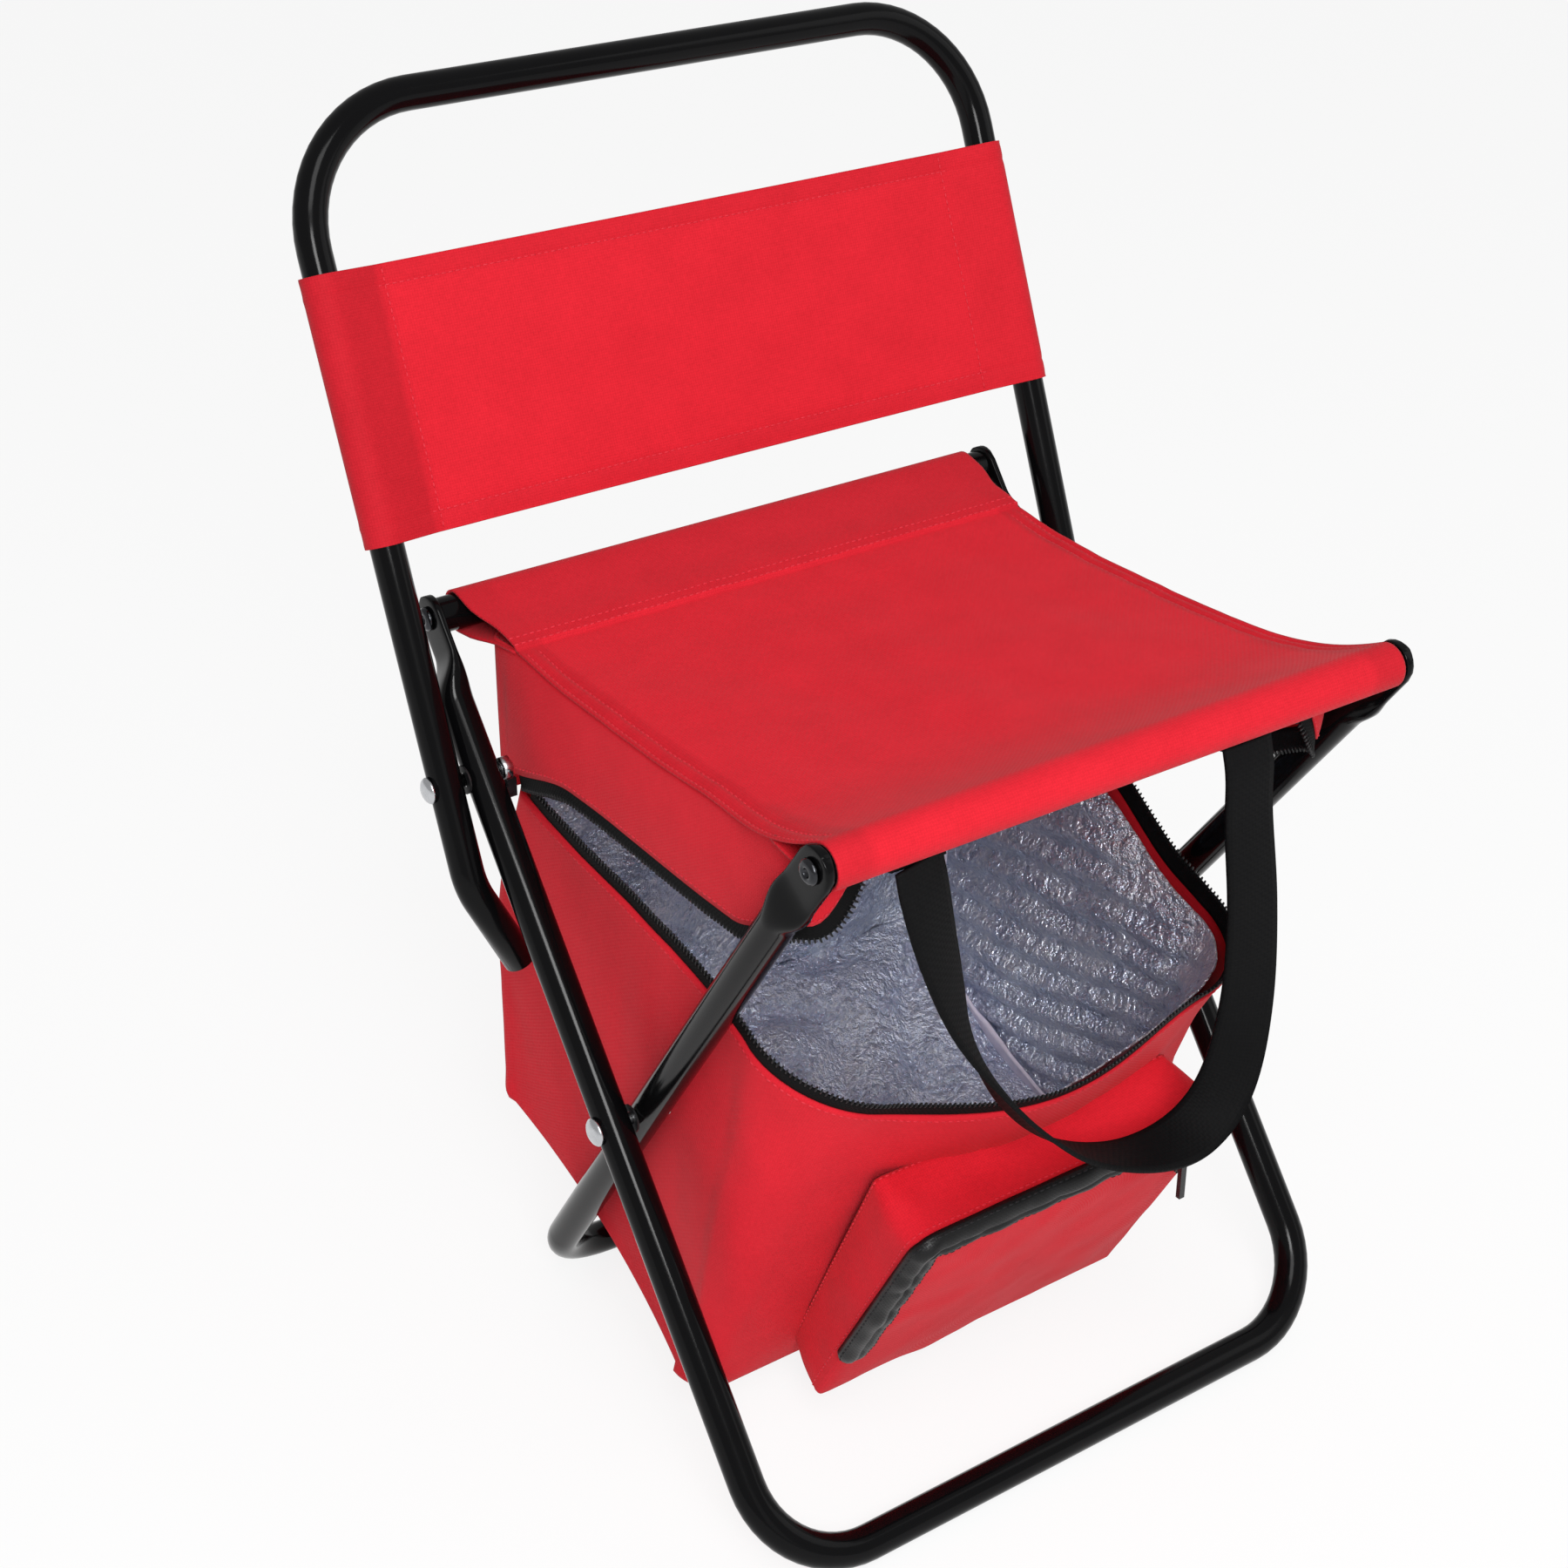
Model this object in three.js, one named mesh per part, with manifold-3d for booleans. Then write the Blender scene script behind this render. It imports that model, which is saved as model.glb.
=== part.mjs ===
// Folding cooler stool with a backrest: two crossed U-shaped leg frames, a sling seat on two rails,
// a hinged back frame and an insulated zip bag hung under the seat.
// Millimetres, +Z up, the sitter faces -Y, origin on the floor under the middle of the stool.
import * as THREE from "three";
import { mergeVertices } from "three/addons/utils/BufferGeometryUtils.js";
import Module from "manifold-3d";

const wasm = await Module();
wasm.setup();

// Steel tube
const tubeDia = 16;
const tubeWall = 1.2;
const tubeSides = 16;
const backTubeDia = 15;
const clearance = 0.3;

// Crossed leg frames, seen from the side
const crossY = -28.65;
const crossZ = 171;
const outerLegAngle = 51.6;
const innerLegAngle = 54.7;
const legAboveCross = 234.3;
const legCornerRadius = 45;

// Half widths: the seat cloth's, the rail ends past it, and the outer leg's centre line past the rear rail
const seatHalfWidth = 138;
const rearRailPast = 13;
const frontRailPast = 7;
const legPastRail = 6;
const tubeSpacing = 18;
const innerLegSplay = 18;

// Back frame: place on the outer legs, lean, and the tails bent in behind the legs
const backPivotAbove = 162;
const backAngle = 68;
const backLength = 288;
const backCornerRadius = 58;
const tailStraight = 46;
const tailInward = 19;
const tailForward = 6.5;
const tailDrop = 41;
const tailRadius = 34;

// Flattened leg ends riveted to the seat rails
const tabThickness = 4;
const tabHeadRadius = 10;
const tabLength = 16;
const tabFlare = 22;
const plugLength = 18;

// Rivets, washers and nuts
const crossRivetDia = 6;
const crossHeadDia = 13;
const crossHeadHeight = 3.2;
const crossTailDia = 9;
const crossTailHeight = 1.4;
const backRivetDia = 6;
const backHeadDia = 12;
const backHeadHeight = 3;
const nutDia = 11;
const nutHeight = 4.5;
const nutCap = 1.5;
const railRivetDia = 5;
const railRivetReach = 12;
const railHeadDia = 11;
const railHeadHeight = 2.6;
const railDishDia = 3.6;
const railDishDepth = 1.6;
const washerDia = 13;
const washerThickness = 0.8;

// Seat, backrest and lid skirt
const sleeveWall = 1.2;
const rearSleevePast = 4;
const frontSleevePast = 6;
const seatThickness = 2.4;
const seatDip = 8;
const backPanelLow = 106;
const backPanelHigh = 221;
const backPanelThickness = 2.4;
const hemStep = 0.5;
const skirtInset = 2;
const skirtThickness = 1.2;
const skirtBend = -56;
const skirtFront = -116;
const skirtTip = -124;
const skirtLowDrop = 75.2210374;
const skirtFrontDrop = 50.2210374;
const tuckDrop = 20.2210374;
const tuckDepth = 42;

// Cooler bag wall, from outside to inside
const bagFabric = 1.2;
const bagFoam = 3;
const bagFoil = 0.8;
const bagRearCorner = 9;
const bagFrontCorner = 16;
const bagMouthRise = 60;

// Bag levels from floor to rim: distance in from the seat's side edge and height, at the rear, at the middle
// of each side and at the front corners, and the height of the front's middle.
// Each y is measured from the leg crossing. The rim and the skirt hang at a drop below the front rail.
const bagLevels = [
  { rearIn: 9, sideIn: 15.5, frontIn: 6, rearY: 158, frontY: -19, rearZ: 90, sideZ: 53, frontZ: 17, midZ: 17 },
  { rearIn: 9, sideIn: 13.5, frontIn: 7, rearY: 157, frontY: -40, rearZ: 128, sideZ: 95, frontZ: 68, midZ: 62 },
  { rearIn: 9, sideIn: 12, frontIn: 9, rearY: 148, frontY: -69, rearZ: 195, sideZ: 178, frontZ: 148, midZ: 125 },
];
const bagRim = { rearIn: 10, sideIn: 10, frontIn: 9, rearY: 127, frontY: -101 };
const rimDrop = { rear: 88.2210374, side: 90.2210374, front: 120.2210374, middle: 168.2210374 };

// Zip of the bag's mouth
const zipTapeWidth = 9;
const zipTapeThickness = 1.2;
const zipStart = 108;
const mouthSlider = { length: 11, width: 9, thickness: 4.4, pull: 24, pullWidth: 5, pullThickness: 1.6 };

// Front pocket on the sloping front of the bag, measured up the slope from the bag's lower front edge
const pocketHalfWidth = 87;
const pocketLow = 21;
const pocketHigh = 172;
const pocketDepthLow = 30;
const pocketDepthHigh = 40;
const pocketWall = 1.4;
const pocketCorner = 18;
const pocketZipWidth = 17;
const pocketZipInset = 1;
const pocketZipEnd = 58;
const pocketZipThickness = 1.4;
const pocketSliderX = 57;
const pocketSlider = { length: 9, width: 8, thickness: 3.2, pull: 24, pullWidth: 3, pullThickness: 2.4 };

// Shoulder strap, hung in a loop from the front rail sleeve
const strapWidth = 25;
const strapThickness = 1.8;
const strapTabWidth = 28;
const strapTabLength = 14;

// Strap centre line from left end to right end, with its twist in degrees.
// Each y is measured from the leg crossing.
const strapPath = [
  [-99, -141, 349.6, 0],
  [-98, -143, 320, 12],
  [-88, -146, 270, 40],
  [-70, -147, 225, 72],
  [-42, -147, 196, 66],
  [0, -146, 183, 50],
  [34, -146, 183, 40],
  [54, -147, 198, 25],
  [64, -147, 228, 12],
  [67, -146, 270, 4],
  [63, -143, 315, 0],
  [62, -141, 349.6, 0],
];

// Derived sizes
const radians = Math.PI / 180;
const rearRailHalf = seatHalfWidth + rearRailPast;
const frontRailHalf = seatHalfWidth + frontRailPast;
const rearSleeveHalf = seatHalfWidth + rearSleevePast;
const frontSleeveHalf = seatHalfWidth + frontSleevePast;
const outerLegX = rearRailHalf + legPastRail;
const skirtX = seatHalfWidth - skirtInset;
const tubeRadius = tubeDia / 2;
const tubeCorner = tubeRadius / Math.cos(Math.PI / tubeSides);
const boreRadius = tubeRadius - tubeWall;
const backRadius = backTubeDia / 2;
const backCorner = backRadius / Math.cos(Math.PI / tubeSides);
const sleeveBore = tubeCorner + clearance;
const sleeveRadius = sleeveBore + sleeveWall;
const backSleeveBore = backCorner + clearance;
const backSleeveRadius = backSleeveBore + sleeveWall;
const outerUp = new THREE.Vector3(0, Math.cos(outerLegAngle * radians), Math.sin(outerLegAngle * radians));
const innerUp = new THREE.Vector3(0, -Math.cos(innerLegAngle * radians), Math.sin(innerLegAngle * radians));
const backUp = new THREE.Vector3(0, Math.cos(backAngle * radians), Math.sin(backAngle * radians));
const cross = new THREE.Vector3(0, crossY, crossZ);
const outerBelow = (crossZ - tubeRadius) / outerUp.z;
const innerBelow = (crossZ - tubeRadius) / innerUp.z;
const rearRail = cross.clone().addScaledVector(outerUp, legAboveCross);
const frontRail = cross.clone().addScaledVector(innerUp, legAboveCross);
const skirtLowZ = frontRail.z - skirtLowDrop;
const skirtFrontZ = frontRail.z - skirtFrontDrop;
const tuckZ = frontRail.z - tuckDrop;
bagLevels.push({
  ...bagRim,
  rearZ: frontRail.z - rimDrop.rear,
  sideZ: frontRail.z - rimDrop.side,
  frontZ: frontRail.z - rimDrop.front,
  midZ: frontRail.z - rimDrop.middle,
});
const frontFoot = cross.clone().addScaledVector(outerUp, -outerBelow);
const rearFoot = cross.clone().addScaledVector(innerUp, -innerBelow);
const backPivot = cross.clone().addScaledVector(outerUp, backPivotAbove);
const innerCrossX = outerLegX - tubeSpacing;
const innerFootX = innerCrossX - (innerLegSplay * innerBelow) / (innerBelow + legAboveCross);
const innerTopX = innerFootX + innerLegSplay;
const backArmX = outerLegX + tubeSpacing;

const black = { color: 0x141416, roughness: 0.25, metalness: 0.4 };
const steel = { color: 0xc4c6c8, roughness: 0.3, metalness: 0.9 };
const nylon = { color: 0x1a1a1c, roughness: 0.6, metalness: 0 };
const red = { color: 0xbf2531, roughness: 0.85, metalness: 0 };
const webbing = { color: 0x18181a, roughness: 0.9, metalness: 0 };
const foil = { color: 0xb4b6ba, roughness: 0.35, metalness: 0.8 };
const foam = { color: 0xe9e9e6, roughness: 0.9, metalness: 0 };

const root = new THREE.Group();
root.name = "folding_cooler_stool";

function vec(x, y, z) {
  return new THREE.Vector3(x, y, z);
}

// A closed surface as a solid that faces out
function solid(geometry) {
  const flat = geometry.index ? geometry.toNonIndexed() : geometry;
  const bare = new THREE.BufferGeometry();
  bare.setAttribute("position", flat.getAttribute("position"));
  const merged = mergeVertices(bare, 1e-3);
  const order = new Uint32Array(merged.index.array);
  const build = () =>
    new wasm.Manifold(
      new wasm.Mesh({ numProp: 3, vertProperties: merged.attributes.position.array, triVerts: order }),
    );
  const body = build();
  if (body.volume() > 0) {
    return body;
  }
  for (let i = 0; i < order.length; i += 3) {
    [order[i + 1], order[i + 2]] = [order[i + 2], order[i + 1]];
  }
  return build();
}

function add(name, body, look) {
  const mesh = body.getMesh();
  const geometry = new THREE.BufferGeometry();
  geometry.setAttribute("position", new THREE.BufferAttribute(new Float32Array(mesh.vertProperties), 3));
  geometry.setIndex(new THREE.BufferAttribute(new Uint32Array(mesh.triVerts), 1));
  geometry.computeVertexNormals();
  const part = new THREE.Mesh(geometry, new THREE.MeshStandardMaterial(look));
  part.name = name;
  root.add(part);
}

function polygon(apothem, turn) {
  const reach = apothem / Math.cos(Math.PI / tubeSides);
  const points = [];
  for (let i = 0; i < tubeSides; i += 1) {
    const angle = turn + ((i + 0.5) * 2 * Math.PI) / tubeSides;
    points.push(new THREE.Vector2(reach * Math.cos(angle), reach * Math.sin(angle)));
  }
  return new THREE.Shape(points);
}

// A path through given stations, with the tangent known at each
class BentPath extends THREE.Curve {
  constructor(points, tangents) {
    super();
    this.points = points;
    this.tangents = tangents;
  }
  getSpacedPoints() {
    return this.points;
  }
  getTangentAt(u) {
    return this.tangents[Math.round(u * (this.points.length - 1))].clone();
  }
}

// Straight runs joined by arcs of the given centre-line radii at the inner corners
function bentPath(corners, radii, arcSteps) {
  const points = [corners[0]];
  const tangents = [corners[1].clone().sub(corners[0]).normalize()];
  for (let i = 1; i < corners.length - 1; i += 1) {
    const before = corners[i].clone().sub(corners[i - 1]).normalize();
    const after = corners[i + 1].clone().sub(corners[i]).normalize();
    const turn = before.angleTo(after);
    const radius = radii[i - 1];
    const inward = after.clone().addScaledVector(before, -after.dot(before)).normalize();
    const centre = corners[i].clone().addScaledVector(before, -radius * Math.tan(turn / 2));
    centre.addScaledVector(inward, radius);
    for (let k = 0; k <= arcSteps; k += 1) {
      const a = (turn * k) / arcSteps;
      const spoke = inward.clone().multiplyScalar(-Math.cos(a)).addScaledVector(before, Math.sin(a));
      points.push(centre.clone().addScaledVector(spoke, radius));
      tangents.push(before.clone().multiplyScalar(Math.cos(a)).addScaledVector(inward, Math.sin(a)));
    }
  }
  const last = corners.length - 1;
  points.push(corners[last]);
  tangents.push(corners[last].clone().sub(corners[last - 1]).normalize());
  return new BentPath(points, tangents);
}

// A bar of many-sided section along a path, with one flat facing the given way at the path's middle
function sweep(path, apothem, facing) {
  const steps = path.points.length - 1;
  const frames = path.computeFrenetFrames(steps, false);
  const mid = Math.floor(steps / 2);
  const turn = Math.atan2(facing.dot(frames.binormals[mid]), facing.dot(frames.normals[mid]));
  const shape = polygon(apothem, turn);
  return solid(new THREE.ExtrudeGeometry(shape, { steps, extrudePath: path, bevelEnabled: false }));
}

function straightBar(from, to, apothem) {
  return sweep(bentPath([from, to], [], 0), apothem, vec(0, 0, -1));
}

// A closed skin over rings of equal point count, capped at both ends
function loft(rings) {
  const count = rings[0].length;
  const positions = [];
  const order = [];
  rings.forEach((ring) => ring.forEach((p) => positions.push(p.x, p.y, p.z)));
  for (let r = 0; r < rings.length - 1; r += 1) {
    for (let i = 0; i < count; i += 1) {
      const a = r * count + i;
      const b = r * count + ((i + 1) % count);
      order.push(a, b, a + count, b, b + count, a + count);
    }
  }
  [0, rings.length - 1].forEach((r) => {
    const hub = positions.length / 3;
    const centre = vec(0, 0, 0);
    rings[r].forEach((p) => centre.addScaledVector(p, 1 / count));
    positions.push(centre.x, centre.y, centre.z);
    for (let i = 0; i < count; i += 1) {
      const a = r * count + i;
      const b = r * count + ((i + 1) % count);
      order.push(...(r === 0 ? [b, a, hub] : [a, b, hub]));
    }
  });
  const geometry = new THREE.BufferGeometry();
  geometry.setAttribute("position", new THREE.Float32BufferAttribute(positions, 3));
  geometry.setIndex(order);
  return solid(geometry);
}

// A strip of rectangular section: each station is a point and the way its width runs
function ribbon(stations, width, thickness) {
  const rings = stations.map((station, i) => {
    const before = stations[Math.max(0, i - 1)].at;
    const after = stations[Math.min(stations.length - 1, i + 1)].at;
    const along = after.clone().sub(before).normalize();
    const across = station.across.clone().addScaledVector(along, -station.across.dot(along)).normalize();
    const out = along.clone().cross(across);
    return [[-1, -1], [1, -1], [1, 1], [-1, 1]].map(([s, t]) => {
      const corner = station.at.clone().addScaledVector(across, (s * width) / 2);
      return corner.addScaledVector(out, (t * thickness) / 2);
    });
  });
  return loft(rings);
}

function pinX(fromX, toX, at, dia) {
  const geometry = new THREE.CylinderGeometry(dia / 2, dia / 2, Math.abs(toX - fromX), tubeSides);
  geometry.rotateZ(Math.PI / 2);
  geometry.translate((fromX + toX) / 2, at.y, at.z);
  return solid(geometry);
}

// A turned piece on an X axis: profile of [radius, distance outward from the given x]
function turnedX(profile, side, x, at) {
  const points = profile.map(([radius, out]) => new THREE.Vector2(radius, out));
  const geometry = new THREE.LatheGeometry(points, tubeSides);
  geometry.rotateZ((-side * Math.PI) / 2);
  geometry.translate(side * x, at.y, at.z);
  return solid(geometry);
}

// A plate cut to a side outline of [y, z] points
function plateX(outline, fromX, toX) {
  const shape = new THREE.Shape(outline.map(([y, z]) => new THREE.Vector2(y, z)));
  const geometry = new THREE.ExtrudeGeometry(shape, { depth: Math.abs(toX - fromX), bevelEnabled: false });
  geometry.applyMatrix4(new THREE.Matrix4().makeBasis(vec(0, 1, 0), vec(0, 0, 1), vec(1, 0, 0)));
  geometry.translate(Math.min(fromX, toX), 0, 0);
  return solid(geometry);
}

function box(fromX, toX, fromY, toY, fromZ, toZ) {
  const geometry = new THREE.BoxGeometry(toX - fromX, toY - fromY, toZ - fromZ);
  geometry.translate((fromX + toX) / 2, (fromY + toY) / 2, (fromZ + toZ) / 2);
  return solid(geometry);
}

// The pressed end of a leg: round tube run out to a flat plate with a round head at the rail
function legTab(side, rail, up, legX, railHalf) {
  const tabInnerX = railHalf + clearance;
  const tabOuterX = tabInnerX + tabThickness;
  const tabX = (tabInnerX + tabOuterX) / 2;
  const across = vec(0, -up.z, up.y);
  const section = (down, x, halfThick, halfWide) => {
    const ring = [];
    for (let i = 0; i < tubeSides; i += 1) {
      const angle = ((i + 0.5) * 2 * Math.PI) / tubeSides;
      const point = rail.clone().addScaledVector(up, -down).addScaledVector(across, halfWide * Math.sin(angle));
      point.x = side * x + halfThick * Math.cos(angle);
      ring.push(point);
    }
    return ring;
  };
  const flareTop = tabLength - tabThickness;
  const flareEnd = tabLength + tabFlare;
  const flare = loft([
    section(flareEnd + tabThickness, legX, tubeRadius, tubeRadius),
    section(flareEnd, legX, tubeRadius, tubeRadius),
    section(tabLength + tabFlare / 2, (legX + tabX) / 2, (tubeRadius + tabThickness) / 2, tabHeadRadius),
    section(tabLength, tabX, tabThickness / 2, tabHeadRadius),
    section(flareTop, tabX, tabThickness / 2, tabHeadRadius),
  ]);
  const outline = [];
  for (let i = 0; i <= tubeSides / 2; i += 1) {
    const angle = (i * 2 * Math.PI) / tubeSides;
    const point = rail.clone().addScaledVector(up, tabHeadRadius * Math.sin(angle));
    point.addScaledVector(across, tabHeadRadius * Math.cos(angle));
    outline.push([point.y, point.z]);
  }
  [-1, 1].forEach((turn) => {
    const point = rail.clone().addScaledVector(up, -tabLength).addScaledVector(across, turn * tabHeadRadius);
    outline.push([point.y, point.z]);
  });
  return flare.add(plateX(outline, side * tabInnerX, side * tabOuterX));
}

// A leg frame: one tube from rail end down, across the floor and up to the other rail end
function legFrame(up, rail, foot, footX, topX, railHalf, holes) {
  const slope = (topX - footX) / rail.distanceTo(foot);
  const flareEnd = tabLength + tabFlare;
  const end = (side) => {
    const point = rail.clone().addScaledVector(up, -flareEnd);
    point.x = side * (topX - slope * flareEnd);
    return point;
  };
  const corner = (side) => vec(side * footX, foot.y, foot.z);
  const path = bentPath([end(-1), corner(-1), corner(1), end(1)], [legCornerRadius, legCornerRadius], 7);
  let body = sweep(path, tubeRadius, vec(0, 0, -1));
  [-1, 1].forEach((side) => {
    body = body.add(legTab(side, rail, up, Math.abs(end(side).x), railHalf));
  });
  body = body.subtract(sweep(path, boreRadius, vec(0, 0, -1)));
  holes.forEach(({ at, dia, reach }) => {
    body = body.subtract(pinX(-reach, reach, at, dia + 2 * clearance).subtract(
      pinX(-footX / 2, footX / 2, at, 2 * dia),
    ));
  });
  return body;
}

const legReach = outerLegX + tubeDia;
const crossHole = { at: cross, dia: crossRivetDia, reach: legReach };
const backHole = { at: backPivot, dia: backRivetDia, reach: legReach };
add(
  "outer_leg_frame",
  legFrame(outerUp, rearRail, frontFoot, outerLegX, outerLegX, rearRailHalf, [
    crossHole,
    backHole,
    { at: rearRail, dia: railRivetDia, reach: legReach },
  ]),
  black,
);
add(
  "inner_leg_frame",
  legFrame(innerUp, frontRail, rearFoot, innerFootX, innerTopX, frontRailHalf, [
    crossHole,
    { at: frontRail, dia: railRivetDia, reach: legReach },
  ]),
  black,
);

// Back frame: an arch of tube with both ends bent in behind the outer legs
function backFrame() {
  const armPoint = (side, along) => {
    const point = backPivot.clone().addScaledVector(backUp, along);
    point.x = side * backArmX;
    return point;
  };
  const tail = (side) => armPoint(side, -tailStraight).add(vec(-side * tailInward, -tailForward, -tailDrop));
  const corners = [
    tail(-1),
    armPoint(-1, -tailStraight),
    armPoint(-1, backLength),
    armPoint(1, backLength),
    armPoint(1, -tailStraight),
    tail(1),
  ];
  const radii = [tailRadius, backCornerRadius, backCornerRadius, tailRadius];
  const path = bentPath(corners, radii, 7);
  const facing = vec(0, -1, 0);
  const reach = backArmX + tubeDia;
  const hole = pinX(-reach, reach, backPivot, backRivetDia + 2 * clearance);
  return sweep(path, backRadius, facing).subtract(sweep(path, backRadius - tubeWall, facing)).subtract(hole);
}
add("back_frame", backFrame(), black);

// Seat rails with a plug and a rivet at each end
function railTube(rail, half) {
  const from = vec(-half, rail.y, rail.z);
  const to = vec(half, rail.y, rail.z);
  const past = vec(1, 0, 0);
  const bore = straightBar(from.clone().sub(past), to.clone().add(past), boreRadius);
  return straightBar(from, to, tubeRadius).subtract(bore);
}

function railPlug(side, rail, half) {
  const inner = half - plugLength;
  const plug = straightBar(vec(side * inner, rail.y, rail.z), vec(side * half, rail.y, rail.z), boreRadius - clearance);
  return plug.subtract(pinX(side * (inner - 1), side * (half + 1), rail, railRivetDia + 2 * clearance));
}

function railRivet(side, rail, half) {
  const shank = railRivetDia / 2;
  const end = -tabThickness - 2 * clearance - railRivetReach;
  const profile = [
    [0, end],
    [shank, end],
    [shank, 0],
    [railHeadDia / 2, 0],
    [railHeadDia / 2, railHeadHeight * 0.4],
    [railHeadDia * 0.36, railHeadHeight],
    [railDishDia / 2, railHeadHeight],
    [railDishDia / 2, railHeadHeight - railDishDepth],
    [0, railHeadHeight - railDishDepth],
  ];
  return turnedX(profile, side, half + tabThickness + 2 * clearance, rail);
}

const sides = [
  ["left", -1],
  ["right", 1],
];
add("rear_seat_rail", railTube(rearRail, rearRailHalf), black);
add("front_seat_rail", railTube(frontRail, frontRailHalf), black);
sides.forEach(([word, side]) => {
  add("rear_rail_plug_" + word, railPlug(side, rearRail, rearRailHalf), nylon);
  add("front_rail_plug_" + word, railPlug(side, frontRail, frontRailHalf), nylon);
  add("rear_rail_rivet_" + word, railRivet(side, rearRail, rearRailHalf), steel);
  add("front_rail_rivet_" + word, railRivet(side, frontRail, frontRailHalf), steel);
});

// Pivot rivets, with a washer between each pair of tubes
function crossRivet(side) {
  const shank = crossRivetDia / 2;
  const inner = innerCrossX - tubeCorner - clearance - crossTailHeight;
  const outer = outerLegX + tubeCorner + clearance;
  const profile = [
    [0, inner - outer],
    [crossTailDia * 0.36, inner - outer],
    [crossTailDia / 2, inner - outer + crossTailHeight / 2],
    [crossTailDia / 2, inner - outer + crossTailHeight],
    [shank, inner - outer + crossTailHeight],
    [shank, 0],
    [crossHeadDia / 2, 0],
    [crossHeadDia / 2, crossHeadHeight * 0.3],
    [crossHeadDia * 0.36, crossHeadHeight * 0.8],
    [0, crossHeadHeight],
  ];
  return turnedX(profile, side, outer, cross);
}

function backRivet(side) {
  const shank = backRivetDia / 2;
  const outer = backArmX + backCorner + clearance;
  const end = outerLegX - tubeCorner - clearance - nutHeight + clearance - outer;
  const profile = [
    [0, end],
    [shank, end],
    [shank, 0],
    [backHeadDia / 2, 0],
    [backHeadDia / 2, backHeadHeight * 0.3],
    [backHeadDia * 0.36, backHeadHeight * 0.8],
    [0, backHeadHeight],
  ];
  return turnedX(profile, side, outer, backPivot);
}

function backNut(side) {
  const face = outerLegX - tubeCorner - clearance;
  const hole = backRivetDia / 2 + clearance;
  const profile = [
    [hole, 0],
    [nutDia / 2, 0],
    [nutDia / 2, -nutHeight],
    [nutDia * 0.3, -nutHeight - nutCap],
    [0, -nutHeight - nutCap],
    [0, -nutHeight],
    [hole, -nutHeight],
    [hole, 0],
  ];
  return turnedX(profile, side, face, backPivot);
}

function washer(side, betweenX, at, dia) {
  const from = side * (betweenX - washerThickness / 2);
  const to = side * (betweenX + washerThickness / 2);
  const ring = pinX(from, to, at, washerDia);
  return ring.subtract(pinX(from - side, to + side, at, dia + 2 * clearance));
}

sides.forEach(([word, side]) => {
  add("cross_rivet_" + word, crossRivet(side), steel);
  add("cross_washer_" + word, washer(side, (outerLegX + innerCrossX) / 2, cross, crossRivetDia), nylon);
  add("back_rivet_" + word, backRivet(side), steel);
  add("back_washer_" + word, washer(side, (outerLegX + backArmX) / 2, backPivot, backRivetDia), nylon);
  add("back_nut_" + word, backNut(side), nylon);
});

// Sling seat: one cloth with a sleeve round each rail
const seatRearEnd = { y: rearRail.y - sleeveRadius + sleeveWall / 2, z: rearRail.z + sleeveWall };
const seatFrontEnd = { y: frontRail.y + sleeveRadius - sleeveWall, z: frontRail.z - sleeveWall * 3 };

function seatLine(y) {
  const t = (y - seatFrontEnd.y) / (seatRearEnd.y - seatFrontEnd.y);
  return seatFrontEnd.z + (seatRearEnd.z - seatFrontEnd.z) * t - seatDip * (1 - (2 * t - 1) ** 2);
}

function seatSling() {
  const steps = 11;
  const upper = [];
  const lower = [];
  for (let i = 0; i <= steps; i += 1) {
    const y = seatFrontEnd.y + ((seatRearEnd.y - seatFrontEnd.y) * i) / steps;
    upper.push([y, seatLine(y) + seatThickness / 2]);
    lower.unshift([y, seatLine(y) - seatThickness / 2]);
  }
  let body = plateX([...upper, ...lower], -seatHalfWidth, seatHalfWidth);
  const sleeves = [
    [rearRail, rearSleeveHalf],
    [frontRail, frontSleeveHalf],
  ];
  sleeves.forEach(([rail, half]) => {
    body = body.add(straightBar(vec(-half, rail.y, rail.z), vec(half, rail.y, rail.z), sleeveRadius));
  });
  sleeves.forEach(([rail, half]) => {
    const past = half + 1;
    body = body.subtract(straightBar(vec(-past, rail.y, rail.z), vec(past, rail.y, rail.z), sleeveBore));
  });
  return body;
}
add("seat_sling", seatSling(), red);

// Backrest cloth: a sleeve on each arm and a flat panel between
function backPanel() {
  const bottom = backPivot.clone().addScaledVector(backUp, backPanelLow);
  const top = backPivot.clone().addScaledVector(backUp, backPanelHigh);
  const ahead = vec(0, -backUp.z, backUp.y);
  const place = new THREE.Matrix4().makeBasis(vec(1, 0, 0), ahead, backUp).setPosition(bottom);
  const reach = backArmX - backSleeveBore - sleeveWall / 2;
  const panelHeight = backPanelHigh - backPanelLow - 2 * hemStep;
  const panel = new THREE.BoxGeometry(2 * reach, backPanelThickness, panelHeight);
  panel.translate(0, 0, (backPanelHigh - backPanelLow) / 2);
  panel.applyMatrix4(place);
  let body = solid(panel);
  sides.forEach(([, side]) => {
    const armX = vec(side * backArmX, 0, 0);
    const line = bentPath([bottom.clone().add(armX), top.clone().add(armX)], [], 0);
    body = body.add(sweep(line, backSleeveRadius, ahead));
  });
  sides.forEach(([, side]) => {
    const from = bottom.clone().addScaledVector(backUp, -1).add(vec(side * backArmX, 0, 0));
    const to = top.clone().addScaledVector(backUp, 1).add(vec(side * backArmX, 0, 0));
    body = body.subtract(sweep(bentPath([from, to], [], 0), backSleeveBore, ahead));
  });
  return body;
}
add("back_panel", backPanel(), red);

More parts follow.
